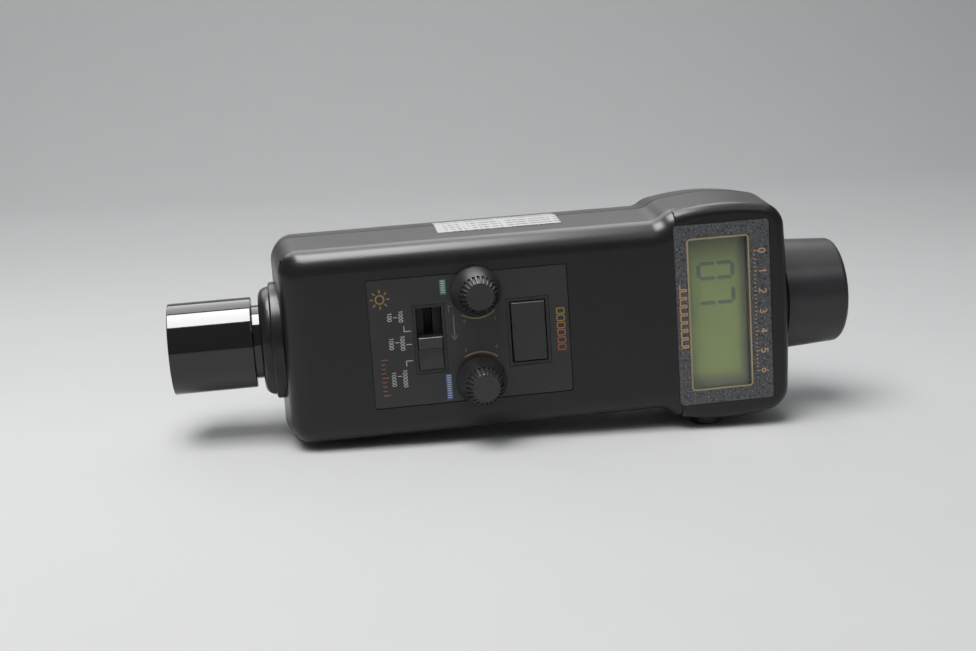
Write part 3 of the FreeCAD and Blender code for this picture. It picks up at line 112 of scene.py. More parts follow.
class Value:
    """A number in a material's graph that takes part in Python sums."""

    def __init__(self, graph: "Graph", socket: Socket) -> None:
        """Wraps one output socket of a graph."""
        self.graph = graph
        self.socket = socket

    def __add__(self, other: "Value | float") -> "Value":
        """Sum."""
        return self.graph.math("ADD", self, other)

    def __radd__(self, other: float) -> "Value":
        """Sum with a plain number first."""
        return self.graph.math("ADD", other, self)

    def __sub__(self, other: "Value | float") -> "Value":
        """Difference."""
        return self.graph.math("SUBTRACT", self, other)

    def __rsub__(self, other: float) -> "Value":
        """Difference from a plain number."""
        return self.graph.math("SUBTRACT", other, self)

    def __mul__(self, other: "Value | float") -> "Value":
        """Product."""
        return self.graph.math("MULTIPLY", self, other)

    def __rmul__(self, other: float) -> "Value":
        """Product with a plain number first."""
        return self.graph.math("MULTIPLY", other, self)

    def __truediv__(self, other: "Value | float") -> "Value":
        """Quotient."""
        return self.graph.math("DIVIDE", self, other)

    def __rtruediv__(self, other: float) -> "Value":
        """Quotient of a plain number."""
        return self.graph.math("DIVIDE", other, self)

    def above(self, low: float, high: float) -> "Value":
        """A smooth step of this value.

        Args:
            low: The number up to which the step is 0.
            high: The number from which it is 1.

        Returns:
            The step's value.
        """
        sockets = {"Value": self, "From Min": low, "From Max": high}
        made = self.graph.node("ShaderNodeMapRange", {"interpolation_type": "SMOOTHSTEP"}, sockets)
        return Value(self.graph, made.outputs["Result"])


class Graph:
    """The node graph of one material."""

    def __init__(self, name: str) -> None:
        """Makes an empty material of that name."""
        self.material = bpy.data.materials.new(name)
        self.material.use_nodes = True
        self.tree = self.material.node_tree
        self.tree.nodes.clear()
        self._place: Socket | None = None

    def node(
        self, kind: str, settings: dict | None = None, sockets: dict | None = None
    ) -> bpy.types.Node:
        """Adds a node.

        Args:
            kind: Name of the node's type.
            settings: Properties that are set first; "stops" holds a colour ramp's stops.
            sockets: Values or links of its input sockets, by name or number.

        Returns:
            The new node.
        """
        made = self.tree.nodes.new(kind)
        for key, value in (settings or {}).items():
            if key == "stops":
                self._set_stops(made.color_ramp, value)
            else:
                setattr(made, key, value)
        for key, value in (sockets or {}).items():
            socket = made.inputs[key]
            if isinstance(value, Value):
                self.tree.links.new(value.socket, socket)
            elif isinstance(value, Socket):
                self.tree.links.new(value, socket)
            elif socket.type == "RGBA":
                socket.default_value = (*value, 1.0)
            else:
                socket.default_value = value
        return made

    @staticmethod
    def _set_stops(ramp: bpy.types.ColorRamp, stops: Sequence[tuple[float, Color]]) -> None:
        """Sets the stops of a colour ramp.

        Args:
            ramp: The ramp, which starts with two stops.
            stops: Place and colour of each stop.
        """
        while len(ramp.elements) < len(stops):
            ramp.elements.new(0.5)
        for element, (position, color) in zip(ramp.elements, stops):
            element.position = position
            element.color = (*color, 1.0)

    def math(self, operation: str, *values: "Value | float") -> Value:
        """A Math node over one to three values."""
        made = self.node("ShaderNodeMath", {"operation": operation}, dict(enumerate(values)))
        return Value(self, made.outputs[0])

    def place(self) -> Socket:
        """Object coordinates, which are the part's own frame for every piece.

        Returns:
            The socket, made once.
        """
        if self._place is None:
            self._place = self.node("ShaderNodeTexCoord").outputs["Object"]
        return self._place

    def stretched(self, scale: Sequence[float]) -> Socket:
        """Object coordinates scaled by three factors."""
        sockets = {"Vector": self.place(), "Scale": tuple(scale)}
        return self.node("ShaderNodeMapping", None, sockets).outputs[0]

    def axis(self, name: str) -> Value:
        """One of the object coordinates, X, Y or Z."""
        parts = self.node("ShaderNodeSeparateXYZ", None, {0: self.place()})
        return Value(self, parts.outputs[name])

    def noise(
        self, size: float, detail: float = 2.0, rough: float = 0.5, vector: Socket | None = None
    ) -> Value:
        """Fractal noise.

        Args:
            size: Size of its largest spots in metres, or in units of the given vector.
            detail: Number of finer octaves.
            rough: How strong the finer octaves are.
            vector: Coordinates to read; the object coordinates by default.

        Returns:
            A value round 0.5.
        """
        sockets = {"Vector": vector or self.place(), "Scale": 1.0 / size}
        sockets |= {"Detail": detail, "Roughness": rough}
        return Value(self, self.node("ShaderNodeTexNoise", None, sockets).outputs["Fac"])

    def cells(self, size: float) -> bpy.types.Node:
        """Cellular pattern with cells of about the given size."""
        sockets = {"Vector": self.place(), "Scale": 1.0 / size}
        return self.node("ShaderNodeTexVoronoi", {"feature": "F1"}, sockets)

    def mix(self, amount: Value | float, low: object, high: object) -> Socket:
        """Colour between low and high, which are colours or colour sockets.

        Args:
            amount: Share of high.
            low: Goes to the node's first colour socket, number 6.
            high: Goes to its second one, number 7.

        Returns:
            The mixed colour, at the node's output number 2.
        """
        made = self.node("ShaderNodeMix", {"data_type": "RGBA"}, {"Factor": amount, 6: low, 7: high})
        return made.outputs[2]

    def bump(self, height: Value, distance: float) -> Socket:
        """Normal of a surface raised by height times distance."""
        sockets = {"Height": height, "Distance": distance, "Strength": 1.0}
        return self.node("ShaderNodeBump", None, sockets).outputs[0]

    def principled(self, sockets: dict) -> Socket:
        """A Principled surface shader with those socket values or links."""
        return self.node("ShaderNodeBsdfPrincipled", None, sockets).outputs[0]

    def surface(self, sockets: dict) -> Material:
        """Closes the graph with one Principled surface."""
        return self.close(self.principled(sockets))

    def close(self, shader: Socket) -> Material:
        """Links the surface shader to the output and returns the material."""
        self.node("ShaderNodeOutputMaterial", None, {"Surface": shader})
        return self.material


@dataclass(frozen=True)
class Finish:
    """Base of all finishes: a name and the means to give it to pieces."""

    name: str

    def build(self) -> Material:
        """Makes the material; each finish has its own way."""
        raise NotImplementedError

    def material(self) -> Material:
        """The material of this finish.

        Returns:
            The material, which is made once.
        """
        if self.name not in MADE:
            MADE[self.name] = self.build()
        return MADE[self.name]

    def dress(self, *names: str) -> None:
        """Gives the finish to CAD nodes by name."""
        for name in names:
            paint(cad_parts[name], self)


def paint(piece: bpy.types.Object, finish: Finish) -> None:
    """Gives one finish to a whole piece."""
    piece.data.materials.clear()
    piece.data.materials.append(finish.material())


@dataclass(frozen=True)
class Plastic(Finish):
    """Moulded plastic or paint: an even tone with slight mottling, a fine texture and some dust."""

    color: Color = (0.02, 0.02, 0.02)
    roughness: float = 0.4
    spread: float = 0.06
    cloud_size: float = 14 * MM
    mottle: float = 0.12
    grain: float = 0.35 * MM
    depth: float = 0.004 * MM
    dust: float = 0.0
    dust_pitch: float = 2.2 * MM
    dust_color: Color = (0.35, 0.35, 0.35)
    dust_roughness: float = 0.3
    ior: float = 1.5

    def build(self) -> Material:
        """Makes the material.

        Returns:
            The material.
        """
        graph = Graph(self.name)
        cloud = graph.noise(self.cloud_size, 4.0, 0.6)
        fine = graph.noise(self.grain, 3.0, 0.65)
        dark = tuple(c * (1 - self.mottle) for c in self.color)
        light = tuple(min(1.0, c * (1 + self.mottle)) for c in self.color)
        color = graph.mix(cloud.above(0.3, 0.7), dark, light)
        rough = self.roughness + (cloud - 0.5) * self.spread + (fine - 0.5) * self.spread
        if self.dust:
            specks = graph.cells(self.dust_pitch)
            near = 1.0 - Value(graph, specks.outputs["Distance"]).above(0.03, 0.06)
            parts = graph.node("ShaderNodeSeparateColor", None, {0: specks.outputs["Color"]})
            seldom = Value(graph, parts.outputs[0])
            spot = near * seldom.above(0.93, 0.94) * self.dust
            color = graph.mix(spot, color, self.dust_color)
            rough = rough + spot * self.dust_roughness
        normal = graph.bump(fine, self.depth)
        sockets = {"Base Color": color, "Roughness": rough, "IOR": self.ior, "Normal": normal}
        return graph.surface(sockets)


def ink(name: str, red: float, green: float, blue: float, roughness: float) -> Plastic:
    """Flat ink of a display colour given from 0 to 255."""
    return Plastic(name, color=tone(red, green, blue), roughness=roughness)


@dataclass(frozen=True)
class Metal(Finish):
    """Bare metal with fine lines from turning, drawing or rolling."""

    color: Color = (0.6, 0.6, 0.6)
    roughness: float = 0.3
    lines: tuple[float, float, float] = (1.0, 1.0, 1.0)
    depth: float = 0.002 * MM
    tarnish: Color = (0.35, 0.33, 0.3)
    tarnish_share: float = 0.5
    line_size: float = 0.3 * MM
    cloud_size: float = 6 * MM
    spread: float = 0.25

    def build(self) -> Material:
        """Makes the material.

        Returns:
            The material.
        """
        graph = Graph(self.name)
        drawn = graph.noise(self.line_size, 3.0, 0.6, graph.stretched(self.lines))
        cloud = graph.noise(self.cloud_size, 3.0)
        color = graph.mix(cloud.above(0.45, 0.85) * self.tarnish_share, self.color, self.tarnish)
        rough = self.roughness + (drawn - 0.5) * self.spread
        normal = graph.bump(drawn, self.depth)
        sockets = {"Base Color": color, "Metallic": 1.0, "Roughness": rough, "Normal": normal}
        return graph.surface(sockets)


@dataclass(frozen=True)
class Clear(Finish):
    """Clear glass or plastic, which lets lamp light pass to what lies behind it."""

    color: Color = (1.0, 1.0, 1.0)
    roughness: float = 0.02
    ior: float = 1.46
    haze: float = 0.03
    smear_size: float = 9 * MM

    def build(self) -> Material:
        """Makes the material.

        Returns:
            The material.
        """
        graph = Graph(self.name)
        smear = graph.noise(self.smear_size, 4.0, 0.6)
        rough = self.roughness + smear.above(0.5, 0.8) * self.haze
        glass = graph.principled(
            {"Base Color": self.color, "Roughness": rough, "IOR": self.ior, "Transmission Weight": 1.0})
        passing = graph.node("ShaderNodeBsdfTransparent", None, {0: self.color})
        shadow = graph.node("ShaderNodeLightPath").outputs["Is Shadow Ray"]
        mixed = graph.node("ShaderNodeMixShader", None, {0: shadow, 1: glass, 2: passing.outputs[0]})
        return graph.close(mixed.outputs[0])


@dataclass(frozen=True)
class Granite(Finish):
    """Printed stone pattern of the display's frame: grey with black and pale grains."""

    base: Color = (0.066, 0.068, 0.073)
    dark: Color = (0.014, 0.014, 0.016)
    pale: Color = (0.21, 0.212, 0.225)
    grain: float = 0.9 * MM
    dot_share: float = 0.55
    texture: float = 0.25 * MM
    depth: float = 0.003 * MM
    roughness: float = 0.38
    spread: float = 0.2

    def build(self) -> Material:
        """Makes the material.

        Returns:
            The material.
        """
        graph = Graph(self.name)
        blot = graph.noise(self.grain, 2.0, 0.7)
        # Mirrored, so that the pale dots don't follow the dark blots.
        mirrored = graph.stretched((1.0, 1.0, -1.0))
        dots = graph.noise(self.grain * self.dot_share, 1.0, 0.5, mirrored)
        color = graph.mix(1.0 - blot.above(0.38, 0.47), self.base, self.dark)
        color = graph.mix(dots.above(0.62, 0.70), color, self.pale)
        normal = graph.bump(graph.noise(self.texture, 2.0), self.depth)
        rough = self.roughness + (blot - 0.5) * self.spread
        return graph.surface({"Base Color": color, "Roughness": rough, "Normal": normal})


@dataclass(frozen=True)
class DisplayCell(Finish):
    """Green reflecting liquid crystal cell, with painted shade on its right, at its foot and at its top.

    Each painted shade rises between two distances from the middle of the display's frame, where the
    frame's recess shades the cell.
    """

    color: Color = tone(109, 124, 69)
    # Colour of the painted shade along the cell's edges, where the frame's recess shades it.
    edge: Color = tone(76, 83, 60)
    right_shade: Pair = (4.2 * MM, 7.2 * MM)
    foot_shade: Pair = (16.5 * MM, 20.5 * MM)
    top_shade: Pair = (18.0 * MM, 23.0 * MM)
    top_shade_share: float = 0.6
    cloud_size: float = 10 * MM
    cloud_share: float = 0.18
    roughness: float = 0.55

    def build(self) -> Material:
        """Makes the material.

        Returns:
            The material.
        """
        graph = Graph(self.name)
        low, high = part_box("display_bezel")
        middle = (low + high) / 2
        # Painted shade: the cell darkens towards its right, its foot and its top, where the frame shades
        # it.
        right = (graph.axis("X") - middle.x).above(*self.right_shade)
        foot = (middle.z - graph.axis("Z")).above(*self.foot_shade)
        top = (graph.axis("Z") - middle.z).above(*self.top_shade) * self.top_shade_share
        painted_shade = graph.math("MAXIMUM", graph.math("MAXIMUM", right, foot), top)
        cloud = graph.noise(self.cloud_size, 2.0)
        color = graph.mix(painted_shade, self.color, self.edge)
        color = graph.mix(cloud.above(0.35, 0.75) * self.cloud_share, color, self.edge)
        return graph.surface({"Base Color": color, "Roughness": self.roughness})


@dataclass(frozen=True)
class Board(Finish):
    """Circuit board: green solder resist over copper tracks, with bare pads."""

    color: Color = (0.02, 0.12, 0.045)
    track: Color = (0.04, 0.2, 0.07)
    solder: Color = (0.62, 0.6, 0.56)
    track_width: float = 0.35 * MM
    track_pitch: float = 2.1 * MM
    track_length: float = 9 * MM
    pad_pitch: float = 3.1 * MM
    depth: float = 0.03 * MM

    def build(self) -> Material:
        """Makes the material.

        Returns:
            The material.
        """
        graph = Graph(self.name)
        turned = graph.node(
            "ShaderNodeMapping", None, {"Vector": graph.place(), "Rotation": (math.pi / 2, 0.0, 0.0)})
        bricks = graph.node(
            "ShaderNodeTexBrick",
            {"offset": 0.37, "squash": 0.7},
            {
                "Vector": turned.outputs[0],
                "Color1": (0.0, 0.0, 0.0),
                "Color2": (0.1, 0.1, 0.1),
                "Mortar": (1.0, 1.0, 1.0),
                "Scale": 1.0,
                "Mortar Size": self.track_width,
                "Brick Width": self.track_length,
                "Row Height": self.track_pitch,
            },
        )
        tracks = Value(graph, bricks.outputs["Fac"])
        dots = graph.cells(self.pad_pitch)
        pad = 1.0 - Value(graph, dots.outputs["Distance"]).above(0.11, 0.14)
        color = graph.mix(tracks, self.color, self.track)
        color = graph.mix(pad, color, self.solder)
        normal = graph.bump(tracks + pad, self.depth)
        sockets = {"Base Color": color, "Roughness": 0.35 + pad * 0.1, "Metallic": pad * 0.8}
        return graph.surface(sockets | {"Normal": normal})


@dataclass(frozen=True)
class Jacket(Finish):
    """Printed jacket of a cell or a capacitor, in two colours along one axis."""

    body: Color = (0.03, 0.05, 0.12)
    band: Color = (0.5, 0.42, 0.2)
    axis: str = "Z"
    start: float = 0.0
    end: float = 0.0
    seam: float = 0.1 * MM
    cloud_size: float = 5 * MM
    depth: float = 0.01 * MM
    roughness: float = 0.25
    spread: float = 0.15

    def build(self) -> Material:
        """Makes the material.

        Returns:
            The material.
        """
        graph = Graph(self.name)
        along = graph.axis(self.axis)
        past = along.above(self.end, self.end + self.seam)
        inside = along.above(self.start - self.seam, self.start) * (1.0 - past)
        cloud = graph.noise(self.cloud_size, 3.0)
        color = graph.mix(inside, self.body, self.band)
        normal = graph.bump(cloud, self.depth)
        rough = self.roughness + (cloud - 0.5) * self.spread
        return graph.surface({"Base Color": color, "Roughness": rough, "Normal": normal})


@dataclass(frozen=True)
class RuledPaper(Finish):
    """White label with rows of short grey dashes, denser towards its right end."""

    paper: Color = (0.5, 0.5, 0.495)
    ink: Color = (0.13, 0.13, 0.13)
    first: float = 0.0
    pitch: float = 2.6 * MM
    left: float = 0.0
    right: float = 1.0
    margin: float = 0.2 * MM
    dash_size: float = 1.1 * MM
    break_size: float = 0.5 * MM
    grain: float = 0.3 * MM
    depth: float = 0.002 * MM

    def build(self) -> Material:
        """Makes the material.

        Returns:
            The material.
        """
        graph = Graph(self.name)
        row = graph.math("FRACT", (graph.axis("Y") - self.first) / self.pitch)
        inside = row.above(0.28, 0.34) * (1.0 - row.above(0.66, 0.72))
        # Stretched across the rows, so that a dash is as tall as its row.
        tall = graph.stretched((1.0, 0.05, 0.05))
        dashes = graph.noise(self.dash_size, 2.0, 0.6, tall)
        broken = graph.noise(self.break_size, 1.0)
        amount = graph.axis("X").above(self.left, self.right) * 0.10
        printed = inside * (dashes + amount).above(0.50, 0.53) * broken.above(0.36, 0.44)
        within = graph.axis("X").above(self.left, self.left + self.margin)
        color = graph.mix(printed * within, self.paper, self.ink)
        fine = graph.noise(self.grain, 2.0)
        normal = graph.bump(fine, self.depth)
        rough = 0.5 + (fine - 0.5) * 0.1
        return graph.surface({"Base Color": color, "Roughness": rough, "Normal": normal})


@dataclass(frozen=True)
class Fade(Finish):
    """Ink that changes from one colour to another down the width of the case."""

    top: Color = tone(150, 120, 58)
    bottom: Color = tone(142, 82, 44)
    worn_color: Color = (0.05, 0.04, 0.03)
    worn_size: float = 0.8 * MM
    worn_share: float = 0.35
    start: float = 0.0
    end: float = 1.0

    def build(self) -> Material:
        """Makes the material.

        Returns:
            The material.
        """
        graph = Graph(self.name)
        color = graph.mix(graph.axis("Z").above(self.start, self.end), self.bottom, self.top)
        worn = graph.noise(self.worn_size, 3.0)
        color = graph.mix(worn.above(0.62, 0.8) * self.worn_share, color, self.worn_color)
        return graph.surface({"Base Color": color, "Roughness": 0.45})


def added(name: str, data: bpy.types.ID) -> bpy.types.Object:
    """Adds an object to the scene.

    Args:
        name: Its name.
        data: The mesh, light or camera that it holds.

    Returns:
        The new object.
    """
    made = bpy.data.objects.new(name, data)
    bpy.context.scene.collection.objects.link(made)
    return made


def stand(made: bpy.types.Object, place: Sequence[float], axes: Sequence[Vector]) -> None:
    """Puts an object at a place, with its own X, Y and Z along the three axes."""
    turn = Matrix(axes).transposed().to_4x4()
    made.matrix_world = Matrix.Translation(Vector(place)) @ turn


@dataclass
class Solid:
    """Vertices and faces that several parts of one piece are gathered in."""

    points: list[Points] = field(default_factory=list)
    faces: list[tuple[int, ...]] = field(default_factory=list)
    count: int = 0

    def add(self, points: Points, faces: Sequence[Sequence[int]]) -> None:
        """Takes in one closed form.

        Args:
            points: Its vertices (n, 3).
            faces: Its faces, which count from 0.
        """
        self.points.append(np.asarray(points, float))
        self.faces += [tuple(int(i) + self.count for i in face) for face in faces]
        self.count += len(points)

    def piece(
        self, name: str, finish: Finish, body: str = CASE, smooth: bool = False
    ) -> bpy.types.Object:
        """Makes the mesh piece.

        Args:
            name: Name of the piece.
            finish: Its finish.
            body: The body of the frame that it rides on.
            smooth: Whether it is shaded smooth.

        Returns:
            The new object.
        """
        mesh = bpy.data.meshes.new(name)
        mesh.from_pydata(np.concatenate(self.points).tolist(), [], self.faces)
        mesh.polygons.foreach_set("use_smooth", [smooth] * len(mesh.polygons))
        mesh.update()
        made = added(name, mesh)
        paint(made, finish)
        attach(made, body)
        LOG.info("%s: %d faces on %s", name, len(mesh.polygons), body)
        return made


def tube_faces(rings: int, around: int, closed: bool) -> list[tuple[int, ...]]:
    """Faces of a grid of rings that is closed around, and closed along or capped.

    Args:
        rings: Number of rings.
        around: Number of points on each ring.
        closed: Whether the last ring joins the first.

    Returns:
        Quads between the rings, and two end caps when it isn't closed.
    """
    last = rings if closed else rings - 1
    i, j = np.meshgrid(np.arange(last), np.arange(around), indexing="ij")
    a = i * around + j
    b = i * around + (j + 1) % around
    c = ((i + 1) % rings) * around + (j + 1) % around
    d = ((i + 1) % rings) * around + j
    faces = [tuple(q) for q in np.stack([a, b, c, d], -1).reshape(-1, 4).tolist()]
    if not closed:
        faces.append(tuple(range(around - 1, -1, -1)))
        faces.append(tuple((rings - 1) * around + k for k in range(around)))
    return faces


def band(
    path: Points, width: float, low: float, high: float, closed: bool = False
) -> tuple[Points, list]:
    """A flat band of ink along a path.

    With the tangent t of the path in its own plane and the side s = (-t2, t1), each ring holds the
    four corners p ± s * width / 2 at the heights low and high; at a bend s is longer by
    1 / cos(half the turn), which keeps the width.

    Args:
        path: Points (n, 2) in the plane of the print.
        width: Width of the band.
        low: Height of its underside.
        high: Height of its top.
        closed: Whether the path returns to its start.

    Returns:
        Points (4 n, 3) as (first, second, height), and faces.
    """
    path = np.asarray(path, float)
    ahead = np.roll(path, -1, 0) - path
    behind = path - np.roll(path, 1, 0)
    if not closed:
        ahead[-1] = behind[-1]
        behind[0] = ahead[0]
    ahead /= np.linalg.norm(ahead, axis=1, keepdims=True)
    behind /= np.linalg.norm(behind, axis=1, keepdims=True)
    tangent = ahead + behind
    tangent /= np.linalg.norm(tangent, axis=1, keepdims=True)
    stretch = 1.0 / np.maximum((tangent * ahead).sum(1), SHARPEST_BEND)
    side = np.stack([-tangent[:, 1], tangent[:, 0]], 1) * (width / 2 * stretch)[:, None]
    left, right = path + side, path - side
    corners = ((left, low), (right, low), (right, high), (left, high))
    rings = [np.column_stack([edge, np.full(len(path), height)]) for edge, height in corners]
    return np.stack(rings, 1).reshape(-1, 3), tube_faces(len(path), 4, closed)


def plate(outline: Points, low: float, high: float) -> tuple[Points, list]:
    """A flat plate: the outline at two heights, joined by walls and closed by two faces.

    Args:
        outline: Points (n, 2).
        low: Height of its underside.
        high: Height of its top.

    Returns:
        Points (2 n, 3), and faces.
    """
    outline = np.asarray(outline, float)
    count = len(outline)
    rings = [np.column_stack([outline, np.full(count, h)]) for h in (low, high)]
    return np.concatenate(rings), tube_faces(2, count, False)


def arc(center: Sequence[float], radius: float, start: float, end: float, steps: int = 24) -> Points:
    """Points c + r (cos a, sin a) for a from start to end, in degrees."""
    a = np.radians(np.linspace(start, end, steps))
    return np.column_stack([center[0] + radius * np.cos(a), center[1] + radius * np.sin(a)])


def rounded(x0: float, x1: float, z0: float, z1: float, radius: float, steps: int = 8) -> Points:
    """Outline of a rectangle with rounded corners, as four quarter circles of that many points."""
    corners = ((x1 - radius, z1 - radius, 0), (x0 + radius, z1 - radius, 90),
               (x0 + radius, z0 + radius, 180), (x1 - radius, z0 + radius, 270))
    return np.concatenate([arc((x, z), radius, a, a + 90, steps) for x, z, a in corners])


def loop(center: Sequence[float], half_width: float, half_height: float, steps: int = 24) -> Points:
    """An ellipse c + (a cos t, b sin t) of that many points."""
    t = np.linspace(0, 2 * np.pi, steps + 1)[:-1]
    return np.column_stack([center[0] + half_width * np.cos(t), center[1] + half_height * np.sin(t)])


NUMERALS: dict[str, Points] = {
    "0": loop((0.3, 0.5), 0.28, 0.5),
    "1": np.array([(0.12, 0.8), (0.34, 1.0), (0.34, 0.0)]),
    "2": np.concatenate([arc((0.3, 0.72), 0.28, 165, -35, 12), [(0.02, 0.0), (0.58, 0.0)]]),
    "3": np.concatenate([arc((0.29, 0.75), 0.25, 150, -80, 12), arc((0.29, 0.27), 0.28, 80, -150, 12)]),
    "4": np.array([(0.42, 0.0), (0.42, 1.0), (0.02, 0.32), (0.6, 0.32)]),
    "5": np.concatenate([[(0.54, 1.0), (0.12, 1.0), (0.07, 0.55)], arc((0.28, 0.31), 0.3, 125, -145, 12)]),
    "6": np.concatenate([[(0.48, 1.0)], arc((0.3, 0.3), 0.28, 160, -200, 20)]),
}


def softened(profile: Points) -> Points:
    """Closed outline with its corners rounded.

    A corner p with the directions a to the corner before and b to the one after, both of length r,
    gives p + 2 a, the curve (1 - t)² (p + a) + 2 t (1 - t) p + t² (p + b) and p + 2 b.

    Args:
        profile: Corners (n, 3) as two coordinates and the length r.

    Returns:
        Points (7 n, 2).
    """
    corner, r = profile[:, :2], profile[:, 2:]
    a, b = np.roll(corner, 1, 0) - corner, np.roll(corner, -1, 0) - corner
    a *= r / np.linalg.norm(a, axis=1, keepdims=True)
    b *= r / np.linalg.norm(b, axis=1, keepdims=True)
    t = np.linspace(0, 1, 5)[None, :, None]
    before, tip, after = (corner + a)[:, None], corner[:, None], (corner + b)[:, None]
    bend = (1 - t) ** 2 * before + 2 * t * (1 - t) * tip + t ** 2 * after
    return np.concatenate([(corner + 2 * a)[:, None], bend, (corner + 2 * b)[:, None]], 1).reshape(-1, 2)


def turned(outline: Points, x: float, y: float, z: float, steps: int) -> tuple[Points, list]:
    """A closed outline (u, r) turned about an axis along X, as (x + u, y + r sin a, z + r cos a).

    Args:
        outline: Points (n, 2) as length along the axis and radius.
        x: Where the outline's zero lies along the axis.
        y: Place of the axis.
        z: Place of the axis.
        steps: Number of steps round it.

    Returns:
        Points (steps n, 3), and faces that point outwards.
    """
    a = np.linspace(0, 2 * np.pi, steps + 1)[:-1, None]
    length, radius = outline[None, :, 0], outline[None, :, 1]
    grid = np.stack([x + length + 0 * a, y + radius * np.sin(a), z + radius * np.cos(a)], -1)
    return grid.reshape(-1, 3), tube_faces(steps, len(outline), True)


@dataclass(frozen=True)
class PrintPlane:
    """A flat face towards the front that carries prints.

    Its own axes are x, from its left edge, and z, from its middle line, in millimetres; prints
    rise from it towards -Y.
    """

    left: float
    middle: float
    depth: float
    sunk: float = 0.02
    rise: float = 0.03

    @classmethod
    def on(cls, box: tuple[Vector, Vector], zero_gap: float) -> "PrintPlane":
        """The front face of a box, with x counted from zero_gap millimetres beside its edge."""
        low, high = box
        return cls(low.x - zero_gap * MM, (low.z + high.z) / 2, low.y)

    def place(self, points: Points) -> Points:
        """Places in the frame.

        Args:
            points: Points (n, 3) as x, z and height on this plane.

        Returns:
            The same points (n, 3) in metres.
        """
        x = self.left + points[:, 0] * MM
        y = self.depth - points[:, 2] * MM
        return np.column_stack([x, y, self.middle + points[:, 1] * MM])

    def line(self, solid: Solid, path: Sequence, width: float, closed: bool = False) -> None:
        """Adds a line of ink along a path to a solid."""
        points, faces = band(path, width, -self.sunk, self.rise, closed)
        solid.add(self.place(points), [face[::-1] for face in faces])

    def patch(self, solid: Solid, outline: Points) -> None:
        """Adds a filled patch of ink, whose outline runs anticlockwise, to a solid."""
        points, faces = plate(outline, -self.sunk, self.rise)
        solid.add(self.place(points), faces)

    def raised(self, by: float) -> "PrintPlane":
        """The same plane for a second layer of ink, higher by so many millimetres."""
        return PrintPlane(self.left, self.middle, self.depth, self.sunk - by, self.rise + by)

    def write(self, solid: Solid, text: str, foot: float, start: float, height: float) -> float:
        """Writes numerals that read downwards, their tops towards +X.

        Args:
            solid: The solid that takes the strokes.
            text: The numerals.
            foot: x of the line that they stand on, in millimetres.
            start: z where the first one begins.
            height: Their height.

        Returns:
            z where the next one would begin.
        """
        for sign in text:
            stroke = NUMERALS[sign] * height
            path = np.column_stack([foot + stroke[:, 1], start - stroke[:, 0]])
            self.line(solid, path, height * NUMERAL_WEIGHT, closed=sign == "0")
            start -= height * NUMERAL_PITCH
        return start


@dataclass
class Shell:
    """The case halves, the battery cover, their screws and the label; lengths in millimetres."""

    row_start: float = 1.0
    print_margin: float = 1.5

    black = Plastic(
        "case_black", color=(0.0095, 0.0093, 0.0100), roughness=0.30, spread=0.08, mottle=0.10,
        grain=0.32 * MM, depth=0.006 * MM, dust=0.5, ior=1.43)
    steel = Metal("screw_steel", color=(0.55, 0.55, 0.57), roughness=0.32, lines=(1.0, 8.0, 1.0))

    def build(self) -> None:
        """Dresses the shell and its label."""
        self.black.dress("front_shell", "back_shell", "battery_cover")
        self.steel.dress("case_screws", "cover_screws", "board_screws", "strobe_board_screws")
        low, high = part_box("side_label")
        first, left = low.y + self.row_start * MM, low.x + self.print_margin * MM
        RuledPaper("label_paper", first=first, left=left, right=high.x).dress("side_label")


